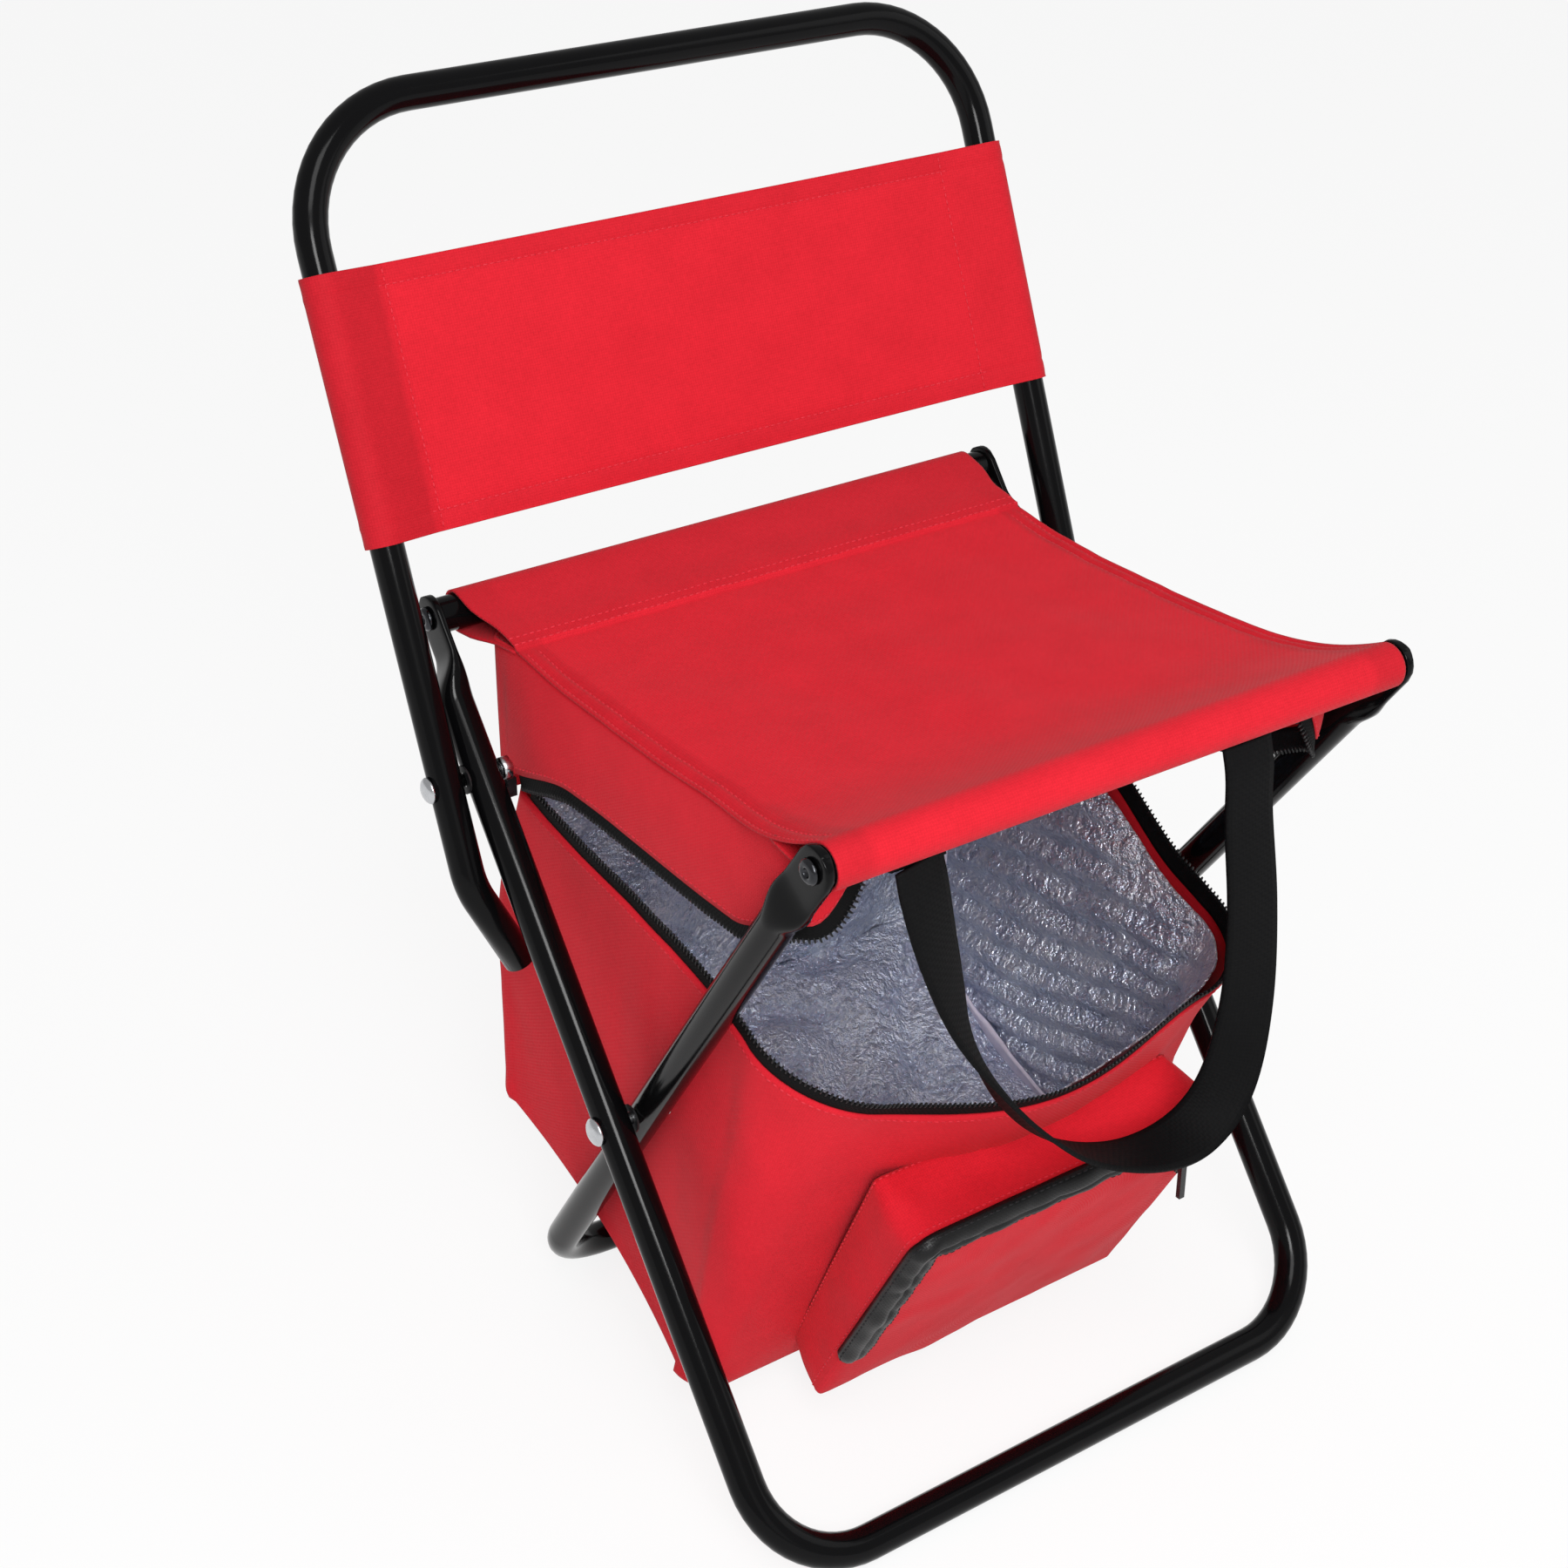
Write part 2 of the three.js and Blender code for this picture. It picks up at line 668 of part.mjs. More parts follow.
// Lid skirt: a band under the seat at both sides and the rear, its front part folded in flat.
// At the rear it runs down to the bag's rim as a cloth hinge.
function lidSkirt() {
  const under = (y) => seatLine(y) - seatThickness / 2 - clearance;
  const rim = bagLevels[3];
  const rearY = crossY + rim.rearY;
  const tipY = crossY + skirtTip;
  const outline = [
    [rearY, skirtLowZ],
    [crossY + skirtBend, skirtLowZ],
    [crossY + skirtFront, skirtFrontZ],
    [tipY, tuckZ + skirtThickness],
  ];
  for (let i = 0; i <= 6; i += 1) {
    const y = tipY + ((rearY - tipY) * i) / 6;
    outline.push([y, under(y) - clearance]);
  }
  const inX = skirtX - skirtThickness;
  const rear = box(-skirtX, skirtX, rearY - skirtThickness, rearY, skirtLowZ, under(rearY) - clearance);
  const flap = seatHalfWidth - rim.rearIn - bagRearCorner;
  const hinge = box(-flap, flap, rearY - skirtThickness, rearY, rim.rearZ + clearance, skirtLowZ + clearance);
  const tuck = box(-skirtX, skirtX, tipY, tipY + tuckDepth, tuckZ, tuckZ + skirtThickness);
  return plateX(outline, -skirtX, -inX).add(plateX(outline, inX, skirtX)).add(rear).add(hinge).add(tuck);
}
add("lid_skirt", lidSkirt(), red);

// Cooler bag: an open-topped box that hangs low at the front, in three nested layers

function bagRing(level, inset) {
  const { rearY, frontY, rearZ, sideZ, frontZ, midZ } = level;
  const rearX = seatHalfWidth - level.rearIn;
  const sideX = seatHalfWidth - level.sideIn;
  const frontX = seatHalfWidth - level.frontIn;
  const depth = rearY - frontY;
  const bow = (rear, side, front, t) => rear + (4 * side - 3 * rear - front) * t + 2 * (rear + front - 2 * side) * t * t;
  const halfAt = (t) => bow(rearX, sideX, frontX, t) - inset;
  const heightAt = (t) => bow(rearZ, sideZ, frontZ, t);
  const right = [];
  const put = (x, back) => right.push([x, rearY - back, heightAt(back / depth)]);
  const corner = (radius, x, back, from) => {
    const round = radius - inset;
    for (let i = 0; i <= 3; i += 1) {
      const a = from + (i * Math.PI) / 6;
      put(x - radius + round * Math.sin(a), back - round * Math.cos(a));
    }
  };
  corner(bagRearCorner, rearX, bagRearCorner, 0);
  for (let i = 1; i <= 5; i += 1) {
    const back = bagRearCorner + ((depth - bagRearCorner - bagFrontCorner) * i) / 6;
    put(halfAt(back / depth), back);
  }
  corner(bagFrontCorner, frontX, depth - bagFrontCorner, Math.PI / 2);
  const flat = frontX - bagFrontCorner;
  for (let i = 1; i <= 6; i += 1) {
    const u = 1 - i / 6;
    right.push([flat * u, frontY + inset, frontZ + (midZ - frontZ) * (1 - u ** 4)]);
  }
  const left = right.slice(0, -1).reverse().map(([x, y, z]) => [-x, y, z]);
  return [...right, ...left].map(([x, y, z]) => vec(x, crossY + y, z));
}

function bagLayer(outside, wall) {
  const lift = (ring, by) => ring.map((p) => p.clone().add(vec(0, 0, by)));
  const skin = (inset, over) => {
    const rings = bagLevels.map((level) => bagRing(level, inset));
    rings[0] = lift(rings[0], inset);
    if (over) {
      rings.push(lift(rings[rings.length - 1], over));
    }
    return loft(rings);
  };
  return skin(outside, 0).subtract(skin(outside + wall, bagMouthRise));
}
add("cooler_bag", bagLayer(0, bagFabric), red);
add("bag_insulation", bagLayer(bagFabric + clearance, bagFoam), foam);
add("foil_lining", bagLayer(bagFabric + bagFoam + 2 * clearance, bagFoil), foil);

// Zip tapes of the mouth: one along the lid skirt's lower edge, one along the bag's rim

function mirrored(stations) {
  const flip = ({ at, across }) => ({ at: vec(-at.x, at.y, at.z), across: vec(-across.x, across.y, across.z) });
  return [...stations, ...stations.slice().reverse().map(flip)];
}

function upperZipTape() {
  const x = -(skirtX - skirtThickness - clearance - zipTapeThickness / 2);
  const upright = vec(0, 0, 1);
  const tipY = crossY + skirtFront;
  const tuckRear = crossY + skirtTip + tuckDepth;
  const below = tuckZ - clearance - zipTapeThickness;
  const stations = [
    { at: vec(x, crossY + zipStart, skirtLowZ), across: upright },
    { at: vec(x, crossY + skirtBend + 6, skirtLowZ + 1), across: upright },
    { at: vec(x, tipY + 8, skirtFrontZ - 2), across: vec(0, 0.6, 1) },
    { at: vec(x + 1, tipY + 4, skirtFrontZ + 12), across: vec(0, 1, 0.5) },
    { at: vec(x + 7, tipY + 10, below - 4), across: vec(0, 1, 0) },
    { at: vec(x + 20, tuckRear - zipTapeWidth, below - 1), across: vec(0, 1, 0) },
  ];
  return ribbon(mirrored(stations), zipTapeWidth, zipTapeThickness);
}
add("zip_upper_tape", upperZipTape(), webbing);

function lowerZipTape() {
  const rim = bagRing(bagLevels[3], zipTapeThickness / 2);
  const below = bagRing(bagLevels[2], zipTapeThickness / 2);
  const stations = [];
  for (let i = 4; i <= rim.length - 5; i += 1) {
    const along = rim[i + 1].clone().sub(rim[i - 1]).normalize();
    const across = rim[i].clone().sub(below[i]);
    across.addScaledVector(along, -across.dot(along)).normalize();
    stations.push({ at: rim[i].clone().addScaledVector(across, zipTapeWidth / 2 + 3 * clearance), across });
  }
  return ribbon(stations, zipTapeWidth, zipTapeThickness);
}
add("zip_lower_tape", lowerZipTape(), webbing);

// Zip sliders: a body with a bar on two posts, and a pull that swings on the bar.
// In its own frame x runs along the zip, y hangs down and z stands out from the cloth.
const barDia = 1.6;
const eyeWall = 0.8;
const eyeRadius = barDia / 2 + clearance;
const barRise = eyeRadius + eyeWall + clearance;
const postWidth = 1.4;

function zipSlider(size, place) {
  const reach = (size.length - postWidth) / 2;
  const barAt = size.thickness + barRise;
  let body = box(-size.length / 2, size.length / 2, -size.width / 2, size.width / 2, 0, size.thickness);
  [-reach, reach].forEach((x) => {
    const foot = size.thickness / 2;
    const head = barAt + barDia / 2;
    body = body.add(box(x - postWidth / 2, x + postWidth / 2, -barDia / 2, barDia / 2, foot, head));
  });
  return body.add(pinX(-reach, reach, vec(0, 0, barAt), barDia)).transform(place.elements);
}

// The pull's own frame has its origin on the bar
function zipPull(size, place) {
  const half = size.pullWidth / 2;
  const thin = size.pullThickness / 2;
  const middle = vec(0, 0, 0);
  const eye = pinX(-half, half, middle, 2 * (eyeRadius + eyeWall));
  const tongue = box(-half, half, eyeRadius, size.pull, -thin, thin);
  const bore = pinX(-half - 1, half + 1, middle, 2 * eyeRadius);
  return eye.add(tongue).subtract(bore).transform(place.elements);
}

function barOf(size, place) {
  return vec(0, 0, size.thickness + barRise).applyMatrix4(place);
}

const mouthPlace = new THREE.Matrix4().makeBasis(vec(0, 1, 0), vec(0, 0, -1), vec(-1, 0, 0));
const mouthSliderY = crossY + zipStart + clearance + mouthSlider.length / 2;
const mouthSliderZ = skirtLowZ - zipTapeWidth / 2 - clearance * 2;
mouthPlace.setPosition(-skirtX - clearance, mouthSliderY, mouthSliderZ);
add("mouth_zip_slider", zipSlider(mouthSlider, mouthPlace), nylon);
const mouthBar = mouthPlace.clone().setPosition(barOf(mouthSlider, mouthPlace));
add("mouth_zip_pull", zipPull(mouthSlider, mouthBar), nylon);

// Front pocket: a box of cloth standing off the slope of the bag's front
const slopeLow = vec(0, crossY + bagLevels[0].frontY, bagLevels[0].midZ);
const slopeTop = vec(0, crossY + bagLevels[3].frontY, bagLevels[3].midZ);
const slopeUp = slopeTop.clone().sub(slopeLow).normalize();
const slopeOut = vec(0, -slopeUp.z, slopeUp.y);
const pocketBack = clearance;

function onSlope(x, up, out) {
  const point = slopeLow.clone().addScaledVector(slopeUp, up).addScaledVector(slopeOut, out);
  point.x = x;
  return point;
}

function pocketDepth(up) {
  const t = (up - pocketLow) / (pocketHigh - pocketLow);
  return pocketDepthLow + (pocketDepthHigh - pocketDepthLow) * t;
}

function pocketRing(inset, out) {
  const ring = [];
  const round = pocketCorner - inset;
  const corners = [
    [pocketHalfWidth - pocketCorner, pocketHigh - pocketCorner, 0],
    [-pocketHalfWidth + pocketCorner, pocketHigh - pocketCorner, 90],
    [-pocketHalfWidth + pocketCorner, pocketLow + pocketCorner, 180],
    [pocketHalfWidth - pocketCorner, pocketLow + pocketCorner, 270],
  ];
  corners.forEach(([x, up, start]) => {
    for (let i = 0; i <= 4; i += 1) {
      const angle = (start + (90 * i) / 4) * radians;
      const atUp = up + round * Math.sin(angle);
      ring.push(onSlope(x + round * Math.cos(angle), atUp, out(atUp)));
    }
  });
  return ring;
}

function frontPocket() {
  const outer = loft([pocketRing(0, () => pocketBack), pocketRing(0, (up) => pocketDepth(up))]);
  const inner = loft([
    pocketRing(pocketWall, () => pocketBack - 1),
    pocketRing(pocketWall, (up) => pocketDepth(up) - pocketWall),
  ]);
  return outer.subtract(inner);
}
add("front_pocket", frontPocket(), red);

// Pocket zip: a wide band up one side of the pocket's face, along the top and down the other side
function pocketZipTape() {
  const shape = new THREE.Shape();
  const reach = pocketHalfWidth - pocketZipInset;
  const top = pocketHigh - pocketZipInset;
  const near = reach - pocketZipWidth;
  const round = pocketCorner - pocketZipInset;
  const endRound = pocketZipWidth / 2;
  shape.moveTo(-reach, pocketZipEnd + endRound);
  shape.lineTo(-reach, top - round);
  shape.absarc(-reach + round, top - round, round, Math.PI, Math.PI / 2, true);
  shape.lineTo(reach - round, top);
  shape.absarc(reach - round, top - round, round, Math.PI / 2, 0, true);
  shape.lineTo(reach, pocketZipEnd + endRound);
  shape.absarc(reach - endRound, pocketZipEnd + endRound, endRound, 0, -Math.PI, true);
  shape.lineTo(near, top - pocketZipWidth);
  shape.lineTo(-near, top - pocketZipWidth);
  shape.lineTo(-near, pocketZipEnd + endRound);
  shape.absarc(-reach + endRound, pocketZipEnd + endRound, endRound, 0, -Math.PI, true);
  const geometry = new THREE.ExtrudeGeometry(shape, { depth: pocketZipThickness, bevelEnabled: false, curveSegments: 5 });
  const position = geometry.attributes.position;
  for (let i = 0; i < position.count; i += 1) {
    const up = position.getY(i);
    const point = onSlope(position.getX(i), up, pocketDepth(up) + clearance + position.getZ(i));
    position.setXYZ(i, point.x, point.y, point.z);
  }
  return solid(geometry);
}
add("pocket_zip_tape", pocketZipTape(), webbing);

const pocketTilt = (pocketDepthHigh - pocketDepthLow) / (pocketHigh - pocketLow);
const faceDown = slopeUp.clone().addScaledVector(slopeOut, pocketTilt).normalize().negate();
const leftward = vec(-1, 0, 0);
const faceOut = leftward.clone().cross(faceDown);
const pocketSliderUp = pocketHigh - pocketZipInset - pocketZipWidth / 2;
const pocketSliderAt = onSlope(pocketSliderX, pocketSliderUp, pocketDepth(pocketSliderUp));
pocketSliderAt.addScaledVector(faceOut, pocketZipThickness + 2 * clearance);
const pocketPlace = new THREE.Matrix4().makeBasis(leftward, faceDown, faceOut).setPosition(pocketSliderAt);
const pocketBar = new THREE.Matrix4().makeBasis(leftward, vec(0, 0, -1), vec(0, -1, 0));
pocketBar.setPosition(barOf(pocketSlider, pocketPlace));
add("pocket_zip_slider", zipSlider(pocketSlider, pocketPlace), nylon);
add("pocket_zip_pull", zipPull(pocketSlider, pocketBar), nylon);

// Shoulder strap: a webbing loop, turned edge-on at its lowest point, and two sewn-on tabs
const strapTabZ = frontRail.z - sleeveRadius - clearance;

function shoulderStrap() {
  const line = new THREE.CatmullRomCurve3(strapPath.map(([x, y, z]) => vec(x, crossY + y, z)));
  const sideways = vec(0, 1, 0);
  const stepsPerSpan = 10;
  const steps = stepsPerSpan * (strapPath.length - 1);
  const stations = [];
  for (let i = 0; i <= steps; i += 1) {
    const before = strapPath[Math.floor(i / stepsPerSpan)];
    const after = strapPath[Math.ceil(i / stepsPerSpan)];
    const share = (i % stepsPerSpan) / stepsPerSpan;
    const twist = (before[3] + (after[3] - before[3]) * share) * radians;
    const across = sideways.clone().cross(line.getTangent(i / steps)).multiplyScalar(Math.cos(twist));
    across.addScaledVector(sideways, -Math.sin(twist));
    stations.push({ at: line.getPoint(i / steps), across });
  }
  return ribbon(stations, strapWidth, strapThickness);
}
add("shoulder_strap", shoulderStrap(), webbing);

[
  ["left", strapPath[0][0]],
  ["right", strapPath[strapPath.length - 1][0]],
].forEach(([word, x]) => {
  const halfX = strapTabWidth / 2;
  const halfY = strapTabLength / 2;
  const tab = box(x - halfX, x + halfX, frontRail.y - halfY, frontRail.y + halfY, strapTabZ - strapThickness, strapTabZ);
  add("strap_tab_" + word, tab, webbing);
});

export default root;
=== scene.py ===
import math
import bpy
import numpy as np
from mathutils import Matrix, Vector, noise


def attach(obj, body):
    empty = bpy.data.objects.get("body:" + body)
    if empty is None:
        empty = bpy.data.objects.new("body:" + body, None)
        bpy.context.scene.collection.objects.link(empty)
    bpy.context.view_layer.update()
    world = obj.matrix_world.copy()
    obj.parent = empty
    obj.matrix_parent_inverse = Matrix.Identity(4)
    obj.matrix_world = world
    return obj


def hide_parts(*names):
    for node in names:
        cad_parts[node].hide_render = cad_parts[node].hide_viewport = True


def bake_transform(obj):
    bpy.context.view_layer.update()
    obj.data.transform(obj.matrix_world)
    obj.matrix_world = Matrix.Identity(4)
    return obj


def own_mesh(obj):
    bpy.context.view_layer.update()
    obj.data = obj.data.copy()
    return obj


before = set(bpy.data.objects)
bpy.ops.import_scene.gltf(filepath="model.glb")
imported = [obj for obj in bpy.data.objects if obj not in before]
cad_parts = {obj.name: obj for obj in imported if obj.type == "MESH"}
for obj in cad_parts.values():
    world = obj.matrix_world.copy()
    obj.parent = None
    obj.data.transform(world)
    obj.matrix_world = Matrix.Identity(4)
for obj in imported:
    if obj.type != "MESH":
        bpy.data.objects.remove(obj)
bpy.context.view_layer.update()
print("frame loaded,", len(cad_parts), "nodes")

mm = 0.001    # shapes are worked out in millimetres and made in metres
xAxis = np.array([1.0, 0.0, 0.0])

# crossing, angles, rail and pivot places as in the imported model
stool = {
    "cross": (-28.65, 171.0), "outerAngle": 51.6, "innerAngle": 54.7, "above": 234.3, "pivotAbove": 162.0,
    "backAngle": 68.0, "tube": 8.0,
}


def sideDir(angle, way):
    return np.array([0.0, way * math.cos(math.radians(angle)), math.sin(math.radians(angle))])


outerUp = sideDir(stool["outerAngle"], 1)
innerUp = sideDir(stool["innerAngle"], -1)
backUp = sideDir(stool["backAngle"], 1)
backAhead = np.array([0.0, -backUp[2], backUp[1]])
cross = np.array([0.0, *stool["cross"]])
rearRail = cross + outerUp * stool["above"]
frontRail = cross + innerUp * stool["above"]
frontFoot = cross - outerUp * (cross[2] - stool["tube"]) / outerUp[2]
rearFoot = cross - innerUp * (cross[2] - stool["tube"]) / innerUp[2]
backPivot = cross + outerUp * stool["pivotAbove"]


def addNode(tree, kind, inputs=None, **settings):
    node = tree.nodes.new(kind)
    for key, value in settings.items():
        setattr(node, key, value)
    for key, value in (inputs or {}).items():
        if isinstance(value, bpy.types.NodeSocket):
            tree.links.new(value, node.inputs[key])
        else:
            node.inputs[key].default_value = value
    return node


def mathNode(tree, operation, *values):
    return addNode(tree, "ShaderNodeMath", dict(enumerate(values)), operation=operation).outputs[0]


def mapNode(tree, *values):
    # value, from low, from high, to low, to high
    return addNode(tree, "ShaderNodeMapRange", dict(enumerate(values))).outputs[0]


def tintNode(tree, share, first, last):
    return addNode(tree, "ShaderNodeMix", {0: share, 6: first, 7: last}, data_type="RGBA").outputs[2]


def noiseNode(tree, place, scale, detail, rough):
    return addNode(tree, "ShaderNodeTexNoise", {
        "Vector": place, "Scale": scale, "Detail": detail, "Roughness": rough}).outputs["Fac"]


def linear(hexText):
    parts = [int(hexText[i:i + 2], 16) / 255 for i in (1, 3, 5)]
    return [c / 12.92 if c < 0.04045 else ((c + 0.055) / 1.055) ** 2.4 for c in parts] + [1.0]


def smooth(t):
    t = np.clip(t, 0.0, 1.0)
    return t * t * (3 - 2 * t)


def ramp(value, start, span):
    # 0 at start, 1 at start + span, soft at both ends
    return smooth((value - start) / span)


def ripple(points, wave, seed):
    # smooth noise from -1 to 1; wave is its size in mm, one number or three
    size = np.broadcast_to(np.asarray(wave, float), 3)
    flat = np.asarray(points, float).reshape(-1, 3) / size + np.array([17.3, 7.1, 3.7]) * seed
    return np.array([noise.noise(Vector(p)) for p in flat]).reshape(np.shape(points)[:-1])


def ripples(points, waves, sharp=False):
    # a sum of ripples, each with its height, wave and seed; sharp ones are creased at zero
    total = 0
    for high, wave, seed in waves:
        one = ripple(points, wave, seed)
        total = total + high * (np.abs(one) if sharp else one)
    return total


def unit(v):
    return v / np.maximum(np.linalg.norm(v, axis=-1, keepdims=True), 1e-9)


def spread(points, count):
    # a polyline resampled to even steps of its first three columns
    points = np.asarray(points, float)
    reach = np.r_[0, np.cumsum(np.linalg.norm(np.diff(points[:, :3], axis=0), axis=1))]
    at = np.linspace(0, reach[-1], count)
    return np.stack([np.interp(at, reach, points[:, k]) for k in range(points.shape[1])], axis=1)


def curveThrough(points, count):
    points = np.asarray(points, float)
    ends = np.vstack([2 * points[0] - points[1], points, 2 * points[-1] - points[-2]])
    line = []
    for t in np.linspace(0, len(points) - 1, count):
        i = min(int(t), len(points) - 2)
        s = t - i
        a, b, c, d = ends[i:i + 4]
        line.append(b + 0.5 * s * (c - a + s * (2 * a - 5 * b + 4 * c - d + s * (3 * (b - c) + d - a))))
    return np.array(line)


def bentPath(corners, radii, steps=12):
    # straight runs joined by arcs
    corners = [np.asarray(c, float) for c in corners]
    path = [corners[0]]
    for before, at, after, radius in zip(corners, corners[1:], corners[2:], radii):
        a, b = unit(before - at), unit(after - at)
        half = math.acos(np.clip(a @ b, -1, 1)) / 2
        middle = at + unit(a + b) * radius / math.sin(half)
        first, last = at + a * radius / math.tan(half), at + b * radius / math.tan(half)
        u = unit(first - middle)
        v = unit((last - middle) - u * ((last - middle) @ u))
        for t in np.linspace(0, math.pi - 2 * half, steps):
            path.append(middle + radius * (u * math.cos(t) + v * math.sin(t)))
    path.append(corners[-1])
    return np.array(path)


def arc(centre, radius, first, last, count):
    return [centre + radius * np.array([math.cos(t), math.sin(t)]) for t in np.linspace(first, last, count)]


def bearing(way):
    return math.atan2(way[1], way[0])


def tangents(path):
    steps = unit(np.diff(path, axis=0))
    return unit(np.vstack([steps[:1], steps[:-1] + steps[1:], steps[-1:]]))


def makePiece(name, points, faces, finish, uv=None, soft=True, ply=None):
    mesh = bpy.data.meshes.new(name)
    mesh.from_pydata((np.asarray(points, float) * mm).tolist(), [], [tuple(int(k) for k in f) for f in faces])
    if uv is not None:
        layer = mesh.uv_layers.new(name="cloth")
        index = np.zeros(len(mesh.loops), np.int32)
        mesh.loops.foreach_get("vertex_index", index)
        layer.data.foreach_set("uv", np.asarray(uv, np.float32)[index].ravel())
    if ply is not None:
        store = mesh.attributes.new("ply", "FLOAT", "POINT")
        store.data.foreach_set("value", np.asarray(ply, np.float32).ravel())
    mesh.materials.append(finish)
    mesh.polygons.foreach_set("use_smooth", [soft] * len(mesh.polygons))
    mesh.update()
    piece = bpy.data.objects.new(name, mesh)
    bpy.context.scene.collection.objects.link(piece)
    return piece


def quads(rows, cols, loop=False, start=0, flip=False):
    faces = []
    for i in range(rows - 1):
        for j in range(cols if loop else cols - 1):
            k = (j + 1) % cols
            at = start + i * cols
            face = [at + j, at + k, at + cols + k, at + cols + j]
            faces.append(face[::-1] if flip else face)
    return faces


def tubePiece(name, rings, finish, flip=False):
    # a closed skin over rings of points, each end filled
    rings = np.asarray(rings)
    rows, cols = rings.shape[:2]
    faces = quads(rows, cols, True)
    faces += [list(range(cols))[::-1], [(rows - 1) * cols + j for j in range(cols)]]
    return makePiece(name, rings.reshape(-1, 3), [f[::-1] for f in faces] if flip else faces, finish)


def gridNormals(grid, loop=False):
    down = np.gradient(grid, axis=0)
    over = np.roll(grid, -1, 1) - np.roll(grid, 1, 1) if loop else np.gradient(grid, axis=1)
    return unit(np.cross(over, down))


def sideOf(grid, row, col, way, loop=False):
    # 1 where the sheet's normal points along a way at one place, else -1
    return 1 if gridNormals(grid, loop)[row, col] @ way > 0 else -1


def gridUv(grid):
    over = np.linalg.norm(np.diff(grid, axis=1), axis=2).max(axis=0)
    down = np.linalg.norm(np.diff(grid, axis=0), axis=2).max(axis=1)
    u, v = np.meshgrid(np.r_[0, np.cumsum(over)], np.r_[0, np.cumsum(down)])
    return np.stack([u, v], axis=2)


def clothParts(grid, thick, loop, capFirst, start):
    # points, faces and uv of a sheet with thickness
    rows, cols = grid.shape[:2]
    normal = gridNormals(grid, loop)
    half = np.broadcast_to(np.asarray(thick, float), (rows, cols))[..., None] / 2
    points = np.vstack([(grid + normal * half).reshape(-1, 3), (grid - normal * half).reshape(-1, 3)])
    back = rows * cols
    faces = quads(rows, cols, loop, start) + quads(rows, cols, loop, start + back, True)
    for i, turn in ((0, False), (rows - 1, True)):
        if i == 0 and capFirst:
            ring = [start + j for j in range(cols)]
            faces += [ring[::-1], [k + back for k in ring]]
            continue
        for j in range(cols if loop else cols - 1):
            k = (j + 1) % cols
            at = start + i * cols
            face = [at + k, at + j, at + back + j, at + back + k]
            faces.append(face[::-1] if turn else face)
    if not loop:
        for j, turn in ((0, True), (cols - 1, False)):
            for i in range(rows - 1):
                a, b = start + i * cols + j, start + (i + 1) * cols + j
                face = [b, a, a + back, b + back]
                faces.append(face[::-1] if turn else face)
    uv = gridUv(grid).reshape(-1, 2)
    return points, faces, np.vstack([uv, uv])


def clothSheet(name, grids, thick, finish, loop=False, capFirst=False, ply=None):
    points, faces, uv = [], [], []
    for grid in grids:
        p, f, t = clothParts(grid, thick, loop, capFirst, sum(len(x) for x in points))
        points.append(p)
        faces += f
        uv.append(t + 400 * len(uv))
    paintedPlyShade = None if ply is None else np.tile(np.broadcast_to(ply, grids[0].shape[:2]).ravel(), 2)
    return makePiece(name, np.vstack(points), faces, finish, np.vstack(uv), ply=paintedPlyShade)


def gridLine(grid, lift, row=None, col=None, first=0, last=None, loop=False, count=160):
    # a line on a sheet along a row or a column, which may lie between two; lift is along the sheet's normal
    normal = gridNormals(grid, loop)
    if row is None:
        grid, normal, row = grid.swapaxes(0, 1), normal.swapaxes(0, 1), col
    low = int(min(math.floor(row), len(grid) - 2))
    s = row - low
    line = grid[low] * (1 - s) + grid[low + 1] * s
    facing = unit(normal[low] * (1 - s) + normal[low + 1] * s) * (1 if lift >= 0 else -1)
    keep = slice(first, last)
    both = spread(np.hstack([line[keep] + facing[keep] * abs(lift), facing[keep]]), count)
    return both[:, :3], unit(both[:, 3:])


def indexOf(values, wanted):
    # where a value falls in a rising or falling list, between its places
    values = np.asarray(values, float)
    order = np.arange(len(values))
    if values[0] > values[-1]:
        return float(np.interp(-wanted, -values, order))
    return float(np.interp(wanted, values, order))


def settle(piece, body, slot, *nodes):
    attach(piece, body)
    if nodes:
        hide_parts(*nodes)
    return piece


def drape(piece, slot, *nodes):
    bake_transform(piece)
    if nodes:
        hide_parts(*nodes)
    return piece


def hangBag(piece, slot, *nodes):
    settle(piece, "outer_frame", slot, *nodes)
    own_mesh(piece)
    return piece


def startFinish(name):
    finish = bpy.data.materials.new(name)
    finish.use_nodes = True
    tree = finish.node_tree
    tree.nodes.clear()
    shader = addNode(tree, "ShaderNodeBsdfPrincipled")
    addNode(tree, "ShaderNodeOutputMaterial", {"Surface": shader.outputs["BSDF"]})
    return finish, tree, shader


def setShader(shader, **values):
    for key, value in values.items():
        shader.inputs[key.replace("_", " ")].default_value = value


def dress(tree, shader, color, height, relief, deep, rough=None):
    bump = addNode(tree, "ShaderNodeBump", {"Height": height, "Strength": relief, "Distance": deep})
    tree.links.new(color, shader.inputs["Base Color"])
    tree.links.new(bump.outputs["Normal"], shader.inputs["Normal"])
    if rough is not None:
        tree.links.new(rough, shader.inputs["Roughness"])


